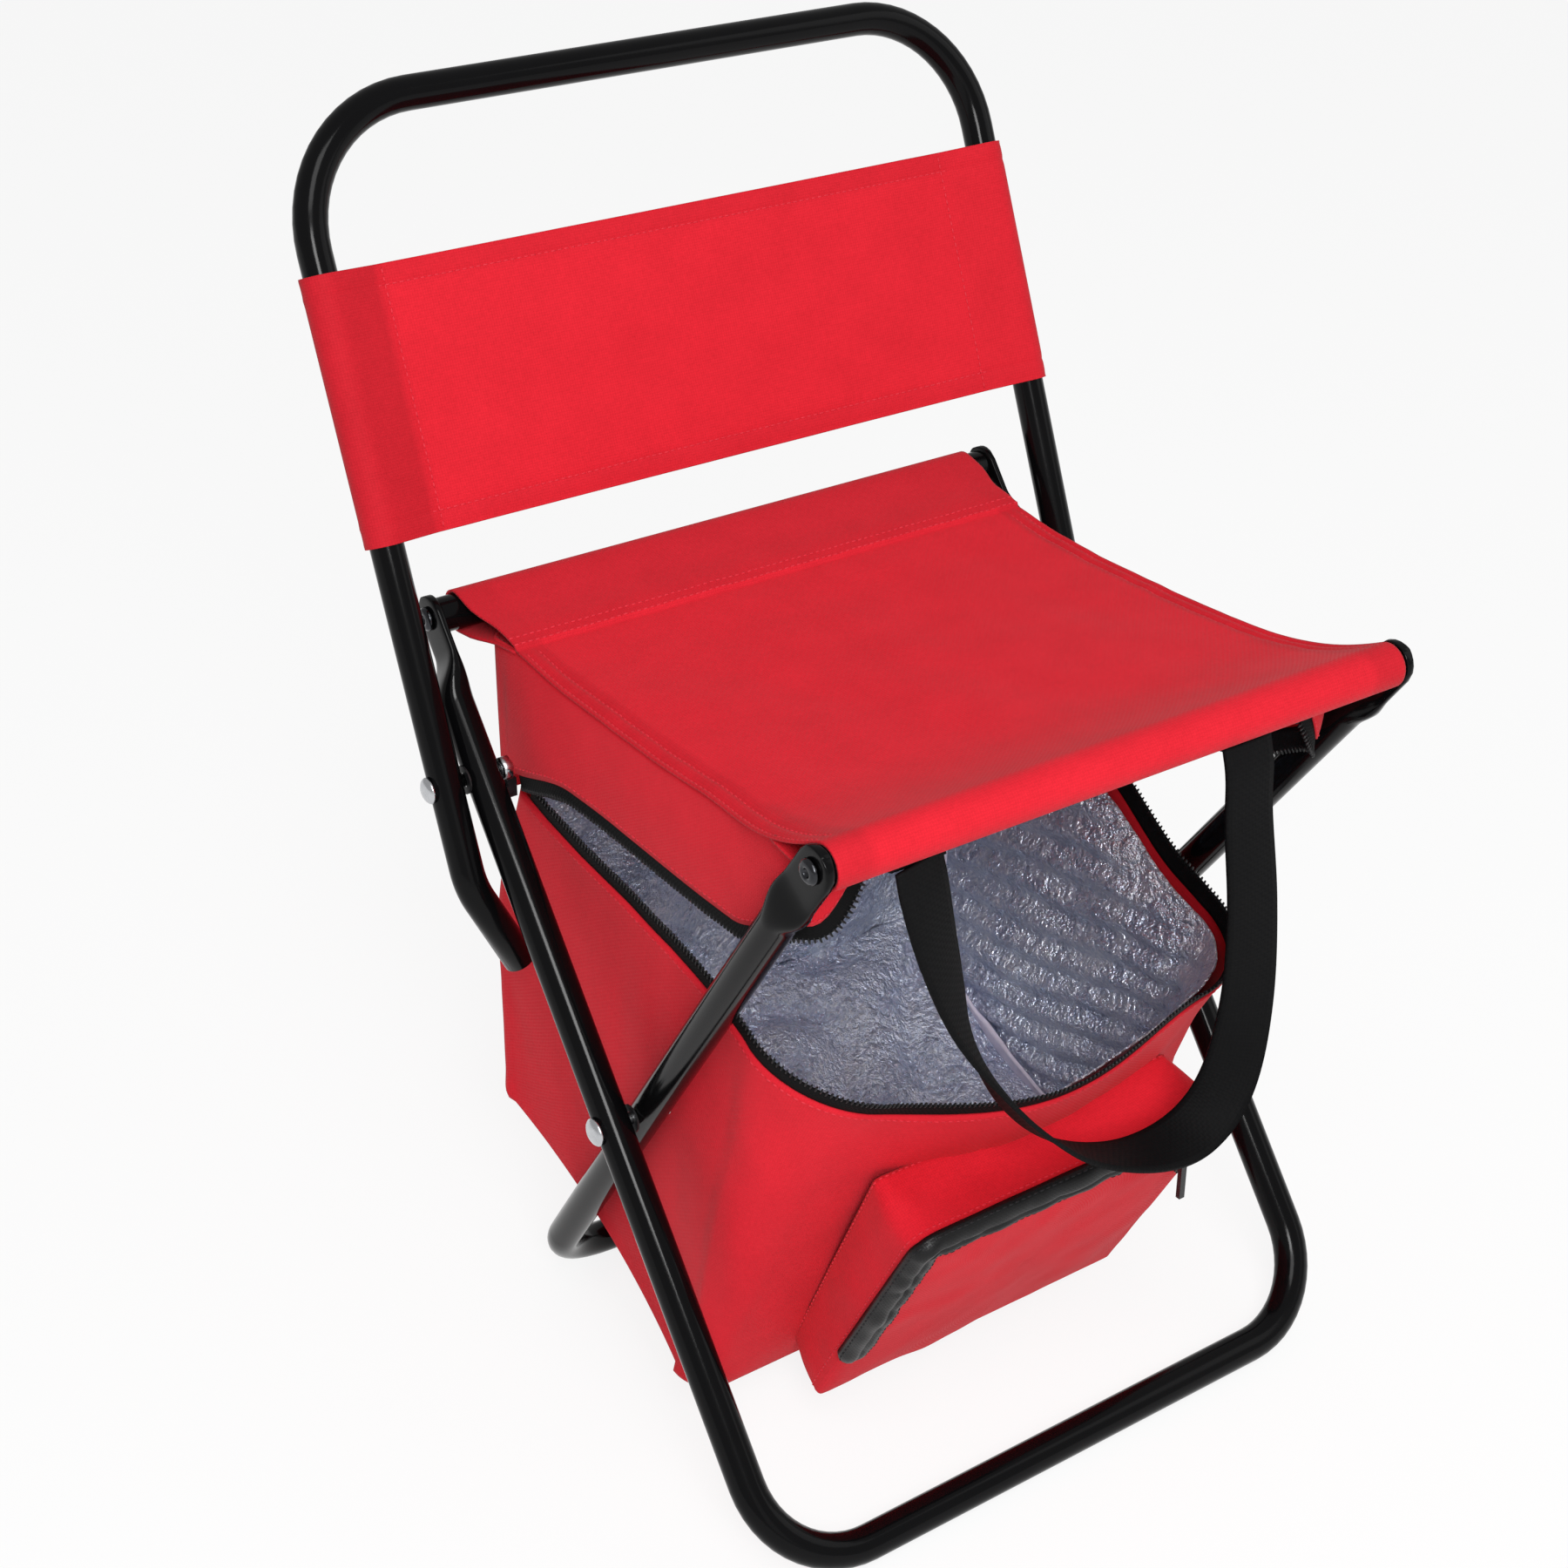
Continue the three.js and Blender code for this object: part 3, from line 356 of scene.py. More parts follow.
def wovenHeight(tree, uv, pitch):
    # plain weave: ridges of warp and weft, swapped on a chequer of thread crossings
    count = addNode(tree, "ShaderNodeVectorMath", {0: uv, "Scale": 1 / pitch}, operation="SCALE")
    part = addNode(tree, "ShaderNodeSeparateXYZ", {0: count.outputs[0]})
    warp, weft = (mathNode(tree, "PINGPONG", part.outputs[k], 0.5) for k in (0, 1))
    place = addNode(tree, "ShaderNodeCombineXYZ", {0: part.outputs[0], 1: part.outputs[1], 2: 0.5})
    over = addNode(tree, "ShaderNodeTexChecker", {"Vector": place.outputs[0], "Scale": 1.0})
    return addNode(tree, "ShaderNodeMix", {0: over.outputs["Fac"], 2: warp, 3: weft}).outputs[0]


def weaveFinish(name, look):
    finish, tree, shader = startFinish(name)
    uv = addNode(tree, "ShaderNodeUVMap", uv_map="cloth").outputs["UV"]
    place = addNode(tree, "ShaderNodeTexCoord").outputs["Object"]
    height = wovenHeight(tree, uv, look["thread"])
    mottle = noiseNode(tree, place, 1000 / look["mottle"], 4.0, 0.65)
    slub = noiseNode(tree, uv, 0.55 / look["thread"], 2.0, 0.7)
    # painted shade: the low threads of the weave are darkened in the base colour
    valleyShade = mapNode(tree, height, 0.0, 0.5, 0.25, -0.1)
    tone = mathNode(tree, "MULTIPLY_ADD", mottle, 0.5, valleyShade)
    fleck = mathNode(tree, "MULTIPLY_ADD", slub, 0.55, tone)
    share = mapNode(tree, fleck, 0.3, 0.95)
    tint = tintNode(tree, share, linear(look["color"]), linear(look["shade"]))
    # painted shade: doubled cloth, marked by the ply attribute, is darkened towards black in the base colour
    plyShadeMask = addNode(tree, "ShaderNodeAttribute", attribute_name="ply").outputs["Fac"]
    deep = mathNode(tree, "MULTIPLY", plyShadeMask, look.get("paintedPlyShade", 0.0))
    body = tintNode(tree, deep, tint, linear("#000000"))
    dress(tree, shader, body, height, look["relief"], 0.0004)
    setShader(shader, Roughness=look["roughness"], Sheen_Weight=look["sheen"], Sheen_Roughness=0.45,
              Specular_IOR_Level=look["gloss"])
    return finish


# 600 denier polyester oxford with a coated back: plain weave, soft satin sheen, even deep red;
# its 0.6 mm threads are drawn twice as coarse so that they show; where it lies doubled, it gets a painted shade
redOxford = weaveFinish("redPolyesterOxford", {
    "color": "#D81E2E", "shade": "#BC1523", "thread": 1.25, "mottle": 22.0, "relief": 0.35, "roughness": 0.75,
    "sheen": 0.04, "gloss": 0.16, "paintedPlyShade": 0.2})

# woven zip tape: matt black polyester twill with a fine dry surface
zipTape = weaveFinish("blackPolyesterZipTape", {
    "color": "#0D0D0E", "shade": "#060607", "thread": 1.1, "mottle": 9.0, "relief": 0.5, "roughness": 0.75,
    "sheen": 0.0, "gloss": 0.12})

# coated zip flap of the pocket: black, satin, its fine weave almost filled
zipFlap = weaveFinish("blackCoatedZipFlap", {
    "color": "#0B0B0C", "shade": "#060607", "thread": 1.1, "mottle": 9.0, "relief": 0.25, "roughness": 0.42,
    "sheen": 0.0, "gloss": 0.3})

# polypropylene webbing: thick ribbed weave, slightly waxy; ribs run along the strap
webbing = weaveFinish("blackPolypropyleneWebbing", {
    "color": "#0C0C0D", "shade": "#060607", "thread": 1.8, "mottle": 12.0, "relief": 0.5, "roughness": 0.7,
    "sheen": 0.0, "gloss": 0.1})

# non-woven seam binding: pale, chalky, lightly felted
paleBinding = weaveFinish("paleNonwovenBinding", {
    "color": "#E9E4F2", "shade": "#CFC8DE", "thread": 0.9, "mottle": 7.0, "relief": 0.25, "roughness": 0.85,
    "sheen": 0.1, "gloss": 0.2})


def grainFinish(name, look):
    # one colour broken by a fine and a coarse grain, with roughness and relief from the same grains
    finish, tree, shader = startFinish(name)
    place = addNode(tree, "ShaderNodeTexCoord").outputs["Object"]
    fine = noiseNode(tree, place, 1000 / look["grain"], 3.0, 0.6)
    broad = noiseNode(tree, place, 1000 / look["cloud"], 3.0, 0.6)
    tint = tintNode(tree, broad, linear(look["color"]), linear(look["shade"]))
    rough = mapNode(tree, broad, 0.3, 0.7, *look["roughness"])
    dress(tree, shader, tint, fine, look["relief"], 0.0002, rough)
    setShader(shader, Metallic=look.get("metallic", 0.0), Specular_IOR_Level=look.get("gloss", 0.5))
    return finish


# powder coat on steel tube: gloss black with a faint orange peel of about 1.5 mm
powderCoat = grainFinish("glossBlackPowderCoat", {
    "color": "#060607", "shade": "#0A0A0B", "grain": 1.6, "cloud": 60.0, "roughness": (0.11, 0.17),
    "relief": 0.04, "gloss": 0.12})

# zinc-plated steel: bright grey with a slight cloud from the bath
zincPlate = grainFinish("zincPlatedSteel", {
    "color": "#CFD0D2", "shade": "#B4B6BA", "grain": 0.9, "cloud": 4.0, "roughness": (0.18, 0.34),
    "relief": 0.12, "metallic": 1.0})

# blackened steel of the rail rivets: dark, with bright glints on its rolled edge
blackSteel = grainFinish("blackenedRivetSteel", {
    "color": "#4A4B4E", "shade": "#2C2D30", "grain": 0.8, "cloud": 5.0, "roughness": (0.12, 0.24),
    "relief": 0.06, "metallic": 1.0})

# moulded nylon: black, even, fine satin texture
blackNylon = grainFinish("mouldedBlackNylon", {
    "color": "#141416", "shade": "#0D0D0F", "grain": 0.5, "cloud": 6.0, "roughness": (0.4, 0.5),
    "relief": 0.15, "gloss": 0.4})

# lacquered zinc die casting of the zip sliders: smooth black gloss
sliderLacquer = grainFinish("blackLacquerDieCast", {
    "color": "#101012", "shade": "#19191C", "grain": 0.6, "cloud": 5.0, "roughness": (0.22, 0.36),
    "relief": 0.1, "gloss": 0.5})

# spun polyester sewing thread: satin, a little paler than the cloth; black on the pocket's band
redThread = grainFinish("redPolyesterThread", {
    "color": "#DC3040", "shade": "#BE1828", "grain": 0.4, "cloud": 3.0, "roughness": (0.5, 0.65),
    "relief": 0.4, "gloss": 0.3})
blackThread = grainFinish("blackPolyesterThread", {
    "color": "#1C1C1F", "shade": "#101012", "grain": 0.4, "cloud": 3.0, "roughness": (0.5, 0.65),
    "relief": 0.4, "gloss": 0.3})


def foilFinish(name, look):
    # metallised polyethylene film on foam: cool silver, crackled by its creases, sparkling from its embossing;
    # its base colour carries a painted sparkle and painted reflection patches; the 0.5 mm embossing is drawn
    # coarser so that it shows
    finish, tree, shader = startFinish(name)
    place = addNode(tree, "ShaderNodeTexCoord").outputs["Object"]
    cloud = noiseNode(tree, place, 1000 / look["cloud"], 4.0, 0.6)
    crease = noiseNode(tree, place, 1000 / look["crease"], 3.0, 0.55)
    emboss = noiseNode(tree, place, 1000 / look["emboss"], 2.0, 0.8)
    fold = mathNode(tree, "ABSOLUTE", mathNode(tree, "SUBTRACT", crease, 0.5))
    line = mapNode(tree, fold, 0.0, 0.16, 0.0, 0.85)
    # painted highlights: the base colour is brightened in specks by the emboss and in broad patches by the
    # cloud, standing in for the film's reflections
    paintedSparkle = mapNode(tree, emboss, 0.42, 0.66, 0.0, 0.65)
    broad = mapNode(tree, cloud, 0.35, 0.65, 0.05, 0.4)
    tone = mathNode(tree, "ADD", paintedSparkle, broad)
    tint = tintNode(tree, tone, linear(look["shade"]), linear(look["color"]))
    rise = mathNode(tree, "MULTIPLY_ADD", emboss, 1.2, line)
    rough = mapNode(tree, cloud, 0.35, 0.65, *look["roughness"])
    dress(tree, shader, tint, rise, look["relief"], 0.0022, rough)
    setShader(shader, Metallic=look["metallic"])
    return finish


foilFilm = foilFinish("metallisedPolyethyleneFilm", {
    "color": "#F6FAFF", "shade": "#BCC9E2", "cloud": 26.0, "crease": 9.0, "emboss": 1.7,
    "roughness": (0.22, 0.38), "relief": 0.8, "metallic": 0.78})
print("finishes ready")


def groupTree(name, sockets):
    tree = bpy.data.node_groups.new(name, "GeometryNodeTree")
    tree.interface.new_socket("Geometry", in_out="OUTPUT", socket_type="NodeSocketGeometry")
    tree.interface.new_socket("Geometry", in_out="INPUT", socket_type="NodeSocketGeometry")
    for label, kind in sockets:
        tree.interface.new_socket(label, in_out="INPUT", socket_type="NodeSocket" + kind)
    return tree, addNode(tree, "NodeGroupInput")


def closeTree(tree, made, finish):
    real = addNode(tree, "GeometryNodeRealizeInstances", {0: made})
    even = addNode(tree, "GeometryNodeSetShadeSmooth", {0: real.outputs[0]})
    paint = addNode(tree, "GeometryNodeSetMaterial", {"Geometry": even.outputs[0], "Material": finish})
    addNode(tree, "NodeGroupOutput", {0: paint.outputs[0]})
    return tree


def stitchRowTree():
    # small rounded grains set along a path at a pitch, long side along it, top side along the stored facing
    tree, given = groupTree("stitchRow", [
        ("Pitch", "Float"), ("Grain size", "Vector"), ("Size spread", "Float"), ("Seed", "Int"),
        ("Finish", "Material")])
    line = addNode(tree, "GeometryNodeMeshToCurve", {"Mesh": given.outputs["Geometry"]})
    even = addNode(tree, "GeometryNodeResampleCurve", {
        "Curve": line.outputs[0], "Length": given.outputs["Pitch"]}, mode="LENGTH")
    along = addNode(tree, "GeometryNodeInputTangent")
    facing = addNode(tree, "GeometryNodeInputNamedAttribute", {"Name": "facing"}, data_type="FLOAT_VECTOR")
    turn = addNode(tree, "FunctionNodeAxesToRotation", {
        "Primary Axis": along.outputs[0], "Secondary Axis": facing.outputs[0]},
        primary_axis="X", secondary_axis="Z")
    least, most = (mathNode(tree, way, 1.0, given.outputs["Size spread"]) for way in ("SUBTRACT", "ADD"))
    chance = addNode(tree, "FunctionNodeRandomValue", {
        "Min": least, "Max": most, "Seed": given.outputs["Seed"]}, data_type="FLOAT")
    size = addNode(tree, "ShaderNodeVectorMath", {0: given.outputs["Grain size"], "Scale": chance.outputs[1]},
                   operation="SCALE")
    grain = addNode(tree, "GeometryNodeMeshUVSphere", {"Segments": 6, "Rings": 4, "Radius": 0.5})
    put = addNode(tree, "GeometryNodeInstanceOnPoints", {
        "Points": even.outputs[0], "Instance": grain.outputs[0], "Rotation": turn.outputs[0],
        "Scale": size.outputs[0]})
    return closeTree(tree, put.outputs[0], given.outputs["Finish"])


def studTree():
    # one turned form set at each point, its axis along the stored facing
    tree, given = groupTree("studs", [("Form", "Object"), ("Finish", "Material")])
    facing = addNode(tree, "GeometryNodeInputNamedAttribute", {"Name": "facing"}, data_type="FLOAT_VECTOR")
    turn = addNode(tree, "FunctionNodeAxesToRotation", {
        "Primary Axis": facing.outputs[0], "Secondary Axis": (0.0, 1.0, 0.0)},
        primary_axis="Z", secondary_axis="Y")
    form = addNode(tree, "GeometryNodeObjectInfo", {"Object": given.outputs["Form"]},
                   transform_space="ORIGINAL")
    cloud = addNode(tree, "GeometryNodeMeshToPoints", {"Mesh": given.outputs["Geometry"]})
    put = addNode(tree, "GeometryNodeInstanceOnPoints", {
        "Points": cloud.outputs[0], "Instance": form.outputs["Geometry"], "Rotation": turn.outputs[0]})
    return closeTree(tree, put.outputs[0], given.outputs["Finish"])


def tubeTree():
    # a round bar or tube run along a path, ends closed
    tree, given = groupTree("tubeRun", [("Radius", "Float"), ("Sides", "Int"), ("Finish", "Material")])
    line = addNode(tree, "GeometryNodeMeshToCurve", {"Mesh": given.outputs["Geometry"]})
    circle = addNode(tree, "GeometryNodeCurvePrimitiveCircle", {
        "Resolution": given.outputs["Sides"], "Radius": given.outputs["Radius"]})
    skin = addNode(tree, "GeometryNodeCurveToMesh", {
        "Curve": line.outputs[0], "Profile Curve": circle.outputs[0], "Fill Caps": True})
    return closeTree(tree, skin.outputs[0], given.outputs["Finish"])


stitchRow, studs, tubeRun = stitchRowTree(), studTree(), tubeTree()


def grow(name, tree, lines, values):
    # a mesh of paths or points with the stored facing goes through a tree and comes back as a plain mesh
    points, facing, edges = [], [], []
    for line, face in lines:
        start = len(points)
        points += (np.asarray(line, float) * mm).tolist()
        facing += np.broadcast_to(np.asarray(face, float), np.shape(line)).tolist()
        edges += [(start + i, start + i + 1) for i in range(len(line) - 1)]
    mesh = bpy.data.meshes.new(name)
    mesh.from_pydata(points, edges, [])
    store = mesh.attributes.new("facing", "FLOAT_VECTOR", "POINT")
    store.data.foreach_set("vector", np.asarray(facing, np.float32).ravel())
    piece = bpy.data.objects.new(name, mesh)
    bpy.context.scene.collection.objects.link(piece)
    maker = piece.modifiers.new("make", "NODES")
    maker.node_group = tree
    for item in tree.interface.items_tree:
        if item.in_out == "INPUT" and item.name in values:
            maker[item.identifier] = values[item.name]
    bpy.context.view_layer.update()
    graph = bpy.context.evaluated_depsgraph_get()
    made = bpy.data.meshes.new_from_object(piece.evaluated_get(graph), depsgraph=graph)
    piece.modifiers.clear()
    piece.data = made
    bpy.data.meshes.remove(mesh)
    made.name = name
    if not made.materials:
        made.materials.append(values["Finish"])
    return piece


stitch = {"pitch": 3.4, "size": (2.7, 0.9, 0.75), "spread": 0.08, "lift": 0.62}


def stitches(name, lines, finish, seed, size=None, pitch=None):
    return grow(name, stitchRow, lines, {
        "Pitch": (pitch or stitch["pitch"]) * mm, "Grain size": tuple(s * mm for s in size or stitch["size"]),
        "Size spread": stitch["spread"], "Seed": seed, "Finish": finish})


def turned(profile, sides):
    # a lathe form about +Z from (radius, height) pairs that start and end on the axis
    points, faces = [(0.0, 0.0, profile[0][1])], []
    angles = [2 * math.pi * k / sides for k in range(sides)]
    for r, z in profile[1:-1]:
        points += [(r * math.cos(a), r * math.sin(a), z) for a in angles]
    points.append((0.0, 0.0, profile[-1][1]))
    rows, top = len(profile) - 2, len(points) - 1
    for k in range(sides):
        n = (k + 1) % sides
        faces.append([0, 1 + n, 1 + k])
        faces.append([top, 1 + (rows - 1) * sides + k, 1 + (rows - 1) * sides + n])
        for i in range(rows - 1):
            a = 1 + i * sides
            faces.append([a + k, a + n, a + sides + n, a + sides + k])
    return points, faces


def studPiece(name, shapes, spots, finish):
    points, faces = [], []
    for profile, sides in shapes:
        p, f = turned(profile, sides)
        faces += [[k + len(points) for k in face] for face in f]
        points += p
    form = makePiece(name + "Form", points, faces, finish)
    piece = grow(name, studs, spots, {"Form": form, "Finish": finish})
    bpy.data.objects.remove(form)
    return piece


# camera where the photograph was taken from
view = {"place": (-623.13, -830.05, 850.96), "azimuth": -34.74, "elevation": 28.99, "lens": 60.72}
camera = bpy.data.objects.new("photoCamera", bpy.data.cameras.new("photoCamera"))
bpy.context.scene.collection.objects.link(camera)
camera.data.sensor_width = 36.0
camera.data.lens = view["lens"]
camera.location = Vector(view["place"]) * mm
camera.rotation_euler = (math.radians(90 - view["elevation"]), 0.0, math.radians(view["azimuth"]))
camera.data.clip_end = 50.0
bpy.context.scene.camera = camera

# floor and light
bpy.context.scene.view_settings.view_transform = "Standard"
studio = {
    "ambient": 0.48, "floor": "#F4F4F4", "paper": 0.85, "half": 20000, "low": -0.3, "aim": (0, 0, 0.3),
    "lamps": (("keyLamp", (-0.8, -1.45, 2.45), 23.0, 1.1), ("fillLamp", (1.9, -1.2, 1.5), 6.5, 1.6),
              ("frontLamp", (-0.5, -2.4, 0.7), 1.0, 0.9), ("flashLamp", (-0.7, -1.25, 1.12), 15.0, 0.45)),
}
corners = ((-1, -1), (1, -1), (1, 1), (-1, 1))
floorPoints = [(x * studio["half"], y * studio["half"], studio["low"]) for x, y in corners]
floorFinish, floorTree, floorShader = startFinish("studioPaper")
setShader(floorShader, Base_Color=linear(studio["floor"]), Roughness=0.9, Specular_IOR_Level=0.1)
rays = addNode(floorTree, "ShaderNodeLightPath").outputs
seen = mathNode(floorTree, "MAXIMUM", rays["Is Camera Ray"], rays["Is Glossy Ray"])
seen = mathNode(floorTree, "MAXIMUM", seen, rays["Is Transmission Ray"])
share = mathNode(floorTree, "MULTIPLY", seen, studio["paper"])
white = addNode(floorTree, "ShaderNodeEmission", {"Color": (1, 1, 1, 1), "Strength": 1.0})
mixed = addNode(floorTree, "ShaderNodeMixShader", {0: share, 1: floorShader.outputs[0], 2: white.outputs[0]})
floorOut = next(n for n in floorTree.nodes if n.type == "OUTPUT_MATERIAL")
floorTree.links.new(mixed.outputs[0], floorOut.inputs["Surface"])
floor = makePiece("studioFloor", floorPoints, [(0, 1, 2, 3)], floorFinish, soft=False)

world = bpy.data.worlds.new("studioWorld")
world.use_nodes = True
bpy.context.scene.world = world
sky = world.node_tree.nodes["Background"]
sky.inputs["Color"].default_value = (1, 1, 1, 1)
skyRays = addNode(world.node_tree, "ShaderNodeLightPath").outputs
skyLevel = mapNode(world.node_tree, skyRays["Is Camera Ray"], 0.0, 1.0, studio["ambient"], 1.0)
world.node_tree.links.new(skyLevel, sky.inputs["Strength"])
for name, place, power, size in studio["lamps"]:
    lamp = bpy.data.objects.new(name, bpy.data.lights.new(name, "AREA"))
    lamp.data.energy, lamp.data.size = power, size
    lamp.location = place
    lamp.rotation_euler = (Vector(studio["aim"]) - Vector(place)).to_track_quat("-Z", "Y").to_euler()
    bpy.context.scene.collection.objects.link(lamp)
print("camera and light ready")

# leg frames: one bent tube each, pressed flat at the top ends where the rails are riveted on
legs = {"radius": 8.0, "corner": 45.0, "cornerSteps": 14, "sides": 28, "tabHalf": 2.0, "tabWide": 10.0,
        "flat": 16.0, "round": 40.0, "gap": 0.3, "swell": 1.3, "square": 5.0,
        "outerX": (157.0, 157.0), "innerX": (130.72, 148.72),
        "downs": (-9.97, -9.6, -8.6, -7, -4.6, 0, 6, 12, *range(16, 41, 2))}
rails = {"radius": 8.0, "rear": 151.0, "front": 145.0, "sides": 28, "rings": 9}


def legFrame(name, up, rail, foot, halfWide, railHalf):
    footX, topX = halfWide
    slope = (topX - footX) / np.linalg.norm(rail - foot)
    flatX = railHalf + legs["gap"] + legs["tabHalf"]
    n = np.array([0.0, -up[2], up[1]])
    left, sizes = [], []
    for d in legs["downs"]:
        t = float(ramp(d, legs["flat"], legs["round"] - legs["flat"]))
        left.append(rail - up * d + np.array([-(flatX * (1 - t) + (topX - slope * d) * t), 0, 0]))
        wide = math.sqrt(max(legs["tabWide"] ** 2 - min(d, 0) ** 2, 0)) * (1 - t) + legs["radius"] * t
        wide += legs["swell"] * math.sin(math.pi * t)
        power = legs["square"] + (2 - legs["square"]) * t
        sizes.append((legs["tabHalf"] * (1 - t) + legs["radius"] * t, wide, power))
    mirror = np.array([-1, 1, 1])
    start = left[-1]
    bend = bentPath([start, foot + [-footX, 0, 0], foot + [footX, 0, 0], start * mirror],
                    [legs["corner"]] * 2, legs["cornerSteps"])
    path = np.array(left + list(bend[1:-1]) + [p * mirror for p in left[::-1]])
    plain = (legs["radius"], legs["radius"], 2.0)
    sizes = sizes + [plain] * (len(bend) - 2) + sizes[::-1]
    rings = []
    for p, t, (thin, wide, power) in zip(path, tangents(path), sizes):
        inward = unit(np.cross(t, n))
        ring = []
        for k in range(legs["sides"]):
            angle = 2 * math.pi * k / legs["sides"]
            c, s = math.cos(angle), math.sin(angle)
            c, s = math.copysign(abs(c) ** (2 / power), c), math.copysign(abs(s) ** (2 / power), s)
            ring.append(p + inward * thin * c + n * wide * s)
        rings.append(ring)
    return tubePiece(name, rings, powderCoat, flip=True)


settle(legFrame("outerLegTube", outerUp, rearRail, frontFoot, legs["outerX"], rails["rear"]),
       "outer_frame", "black_steel", "outer_leg_frame")
settle(legFrame("innerLegTube", innerUp, frontRail, rearFoot, legs["innerX"], rails["front"]),
       "inner_frame", "black_steel", "inner_leg_frame")

# back frame: arms, top bar and tails bent in behind the outer legs; the ends are open tube
backArms = {"x": 175.0, "reach": 288.0, "tail": 46.0, "tailEnd": (-19.0, -6.5, -41.0), "radius": 7.5,
            "bore": 6.3, "boreDeep": 12.0, "rim": 0.4, "bends": (34, 58, 58, 34), "bendSteps": 16, "sides": 28}


def backFrame():
    arm = lambda side, s: backPivot + backUp * s + np.array([side * backArms["x"], 0, 0])
    tail = lambda side: arm(side, -backArms["tail"]) + np.array(backArms["tailEnd"]) * [side, 1, 1]
    left = [tail(-1), arm(-1, -backArms["tail"]), arm(-1, backArms["reach"])]
    right = [arm(1, backArms["reach"]), arm(1, -backArms["tail"]), tail(1)]
    path = bentPath(left + right, backArms["bends"], backArms["bendSteps"])
    ways = tangents(path)
    r, bore, rim, sides = (backArms[key] for key in ("radius", "bore", "rim", "sides"))

    def openEnd(p, way, along):
        # bore, rim and outer edge of a tube's end
        return [(p + way * backArms["boreDeep"], along, bore), (p, along, bore), (p, along, r - rim),
                (p + way * rim, along, r)]

    stations = openEnd(path[0], ways[0], ways[0])
    stations += [(p, t, r) for p, t in zip(path[1:-1], ways[1:-1])]
    stations += openEnd(path[-1], -ways[-1], ways[-1])[::-1]
    side = unit(np.cross(ways[0], [0.3, 1.0, 0.2]))
    angles = np.arange(sides) * 2 * math.pi / sides
    rings = []
    for p, t, radius in stations:
        side = unit(side - t * (side @ t))
        other = np.cross(t, side)
        rings.append([p + radius * (side * math.cos(a) + other * math.sin(a)) for a in angles])
    return tubePiece("backTube", rings, powderCoat)


settle(backFrame(), "back", "black_steel", "back_frame")

# seat rails
for name, at, half, body, node in (
        ("rearRailTube", rearRail, rails["rear"], "outer_frame", "rear_seat_rail"),
        ("frontRailTube", frontRail, rails["front"], "inner_frame", "front_seat_rail")):
    run = np.linspace(-half, half, rails["rings"])[:, None] * xAxis + at
    tube = grow(name, tubeRun, [(run, (0, 0, 1))], {
        "Radius": rails["radius"] * mm, "Sides": rails["sides"], "Finish": powderCoat})
    settle(tube, body, "black_steel", node)

# rivets and nuts as turned forms, (radius, height) pairs; the table gives each pair's distance from the middle
rivets = {"shank": 2.9, "sides": 24}
shank = rivets["shank"]
crossHead = [
    (0, -36.4), (3.0, -36.4), (4.2, -36.0), (4.5, -35.4), (4.4, -35.0), (shank, -34.9), (shank, 0), (6.3, 0),
    (6.5, 0.35), (6.3, 1.0), (5.4, 1.9), (3.9, 2.7), (2.0, 3.1), (0, 3.2)]
backHead = [
    (0, -38.5), (shank, -38.4), (shank, 0), (5.8, 0), (6.0, 0.35), (5.8, 0.95), (5.0, 1.8), (3.6, 2.55),
    (1.8, 2.9), (0, 3.0)]
nutForm = [(0, -4.5), (5.0, -4.5), (5.6, -4.0), (5.6, -0.3), (5.2, 0.0), (0, 0.0)]
nutCap = [(0, -6.0), (2.2, -5.8), (3.6, -5.0), (3.9, -4.4), (0, -4.4)]
railHead = [
    (0, -12.0), (2.4, -12.0), (2.4, 0), (5.2, 0), (5.5, 0.5), (5.2, 1.5), (4.3, 2.3), (3.2, 2.6), (2.3, 2.5),
    (1.8, 2.0), (1.6, 1.0), (0, 0.9)]
headForms = [[(head, rivets["sides"])] for head in (crossHead, backHead, railHead)]
for name, forms, x, at, finish, body, node in (
        ("crossRivets", headForms[0], 165.46, cross, zincPlate, "outer_frame", "cross_rivet"),
        ("backRivets", headForms[1], 182.95, backPivot, zincPlate, "outer_frame", "back_rivet"),
        ("backNuts", [(nutForm, 6), (nutCap, 18)], 148.54, backPivot, zincPlate, "outer_frame", "back_nut"),
        ("rearRailRivets", headForms[2], 155.6, rearRail, blackSteel, "outer_frame", "rear_rail_rivet"),
        ("frontRailRivets", headForms[2], 149.6, frontRail, blackSteel, "inner_frame", "front_rail_rivet")):
    spots = [(np.array([at + [side * x, 0, 0]]), (side, 0, 0)) for side in (-1, 1)]
    settle(studPiece(name, forms, spots, finish), body, "zinc_steel", node + "_left", node + "_right")

# rail plugs, washers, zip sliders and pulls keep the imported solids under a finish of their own
plainParts = ((blackNylon, ("rail_plug", "washer")), (sliderLacquer, ("slider", "pull")))
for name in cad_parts:
    for finish, words in plainParts:
        if any(word in name for word in words):
            solid = bpy.data.objects[name]
            solid.data.materials.clear()
            solid.data.materials.append(finish)
print("frames and rivets made")

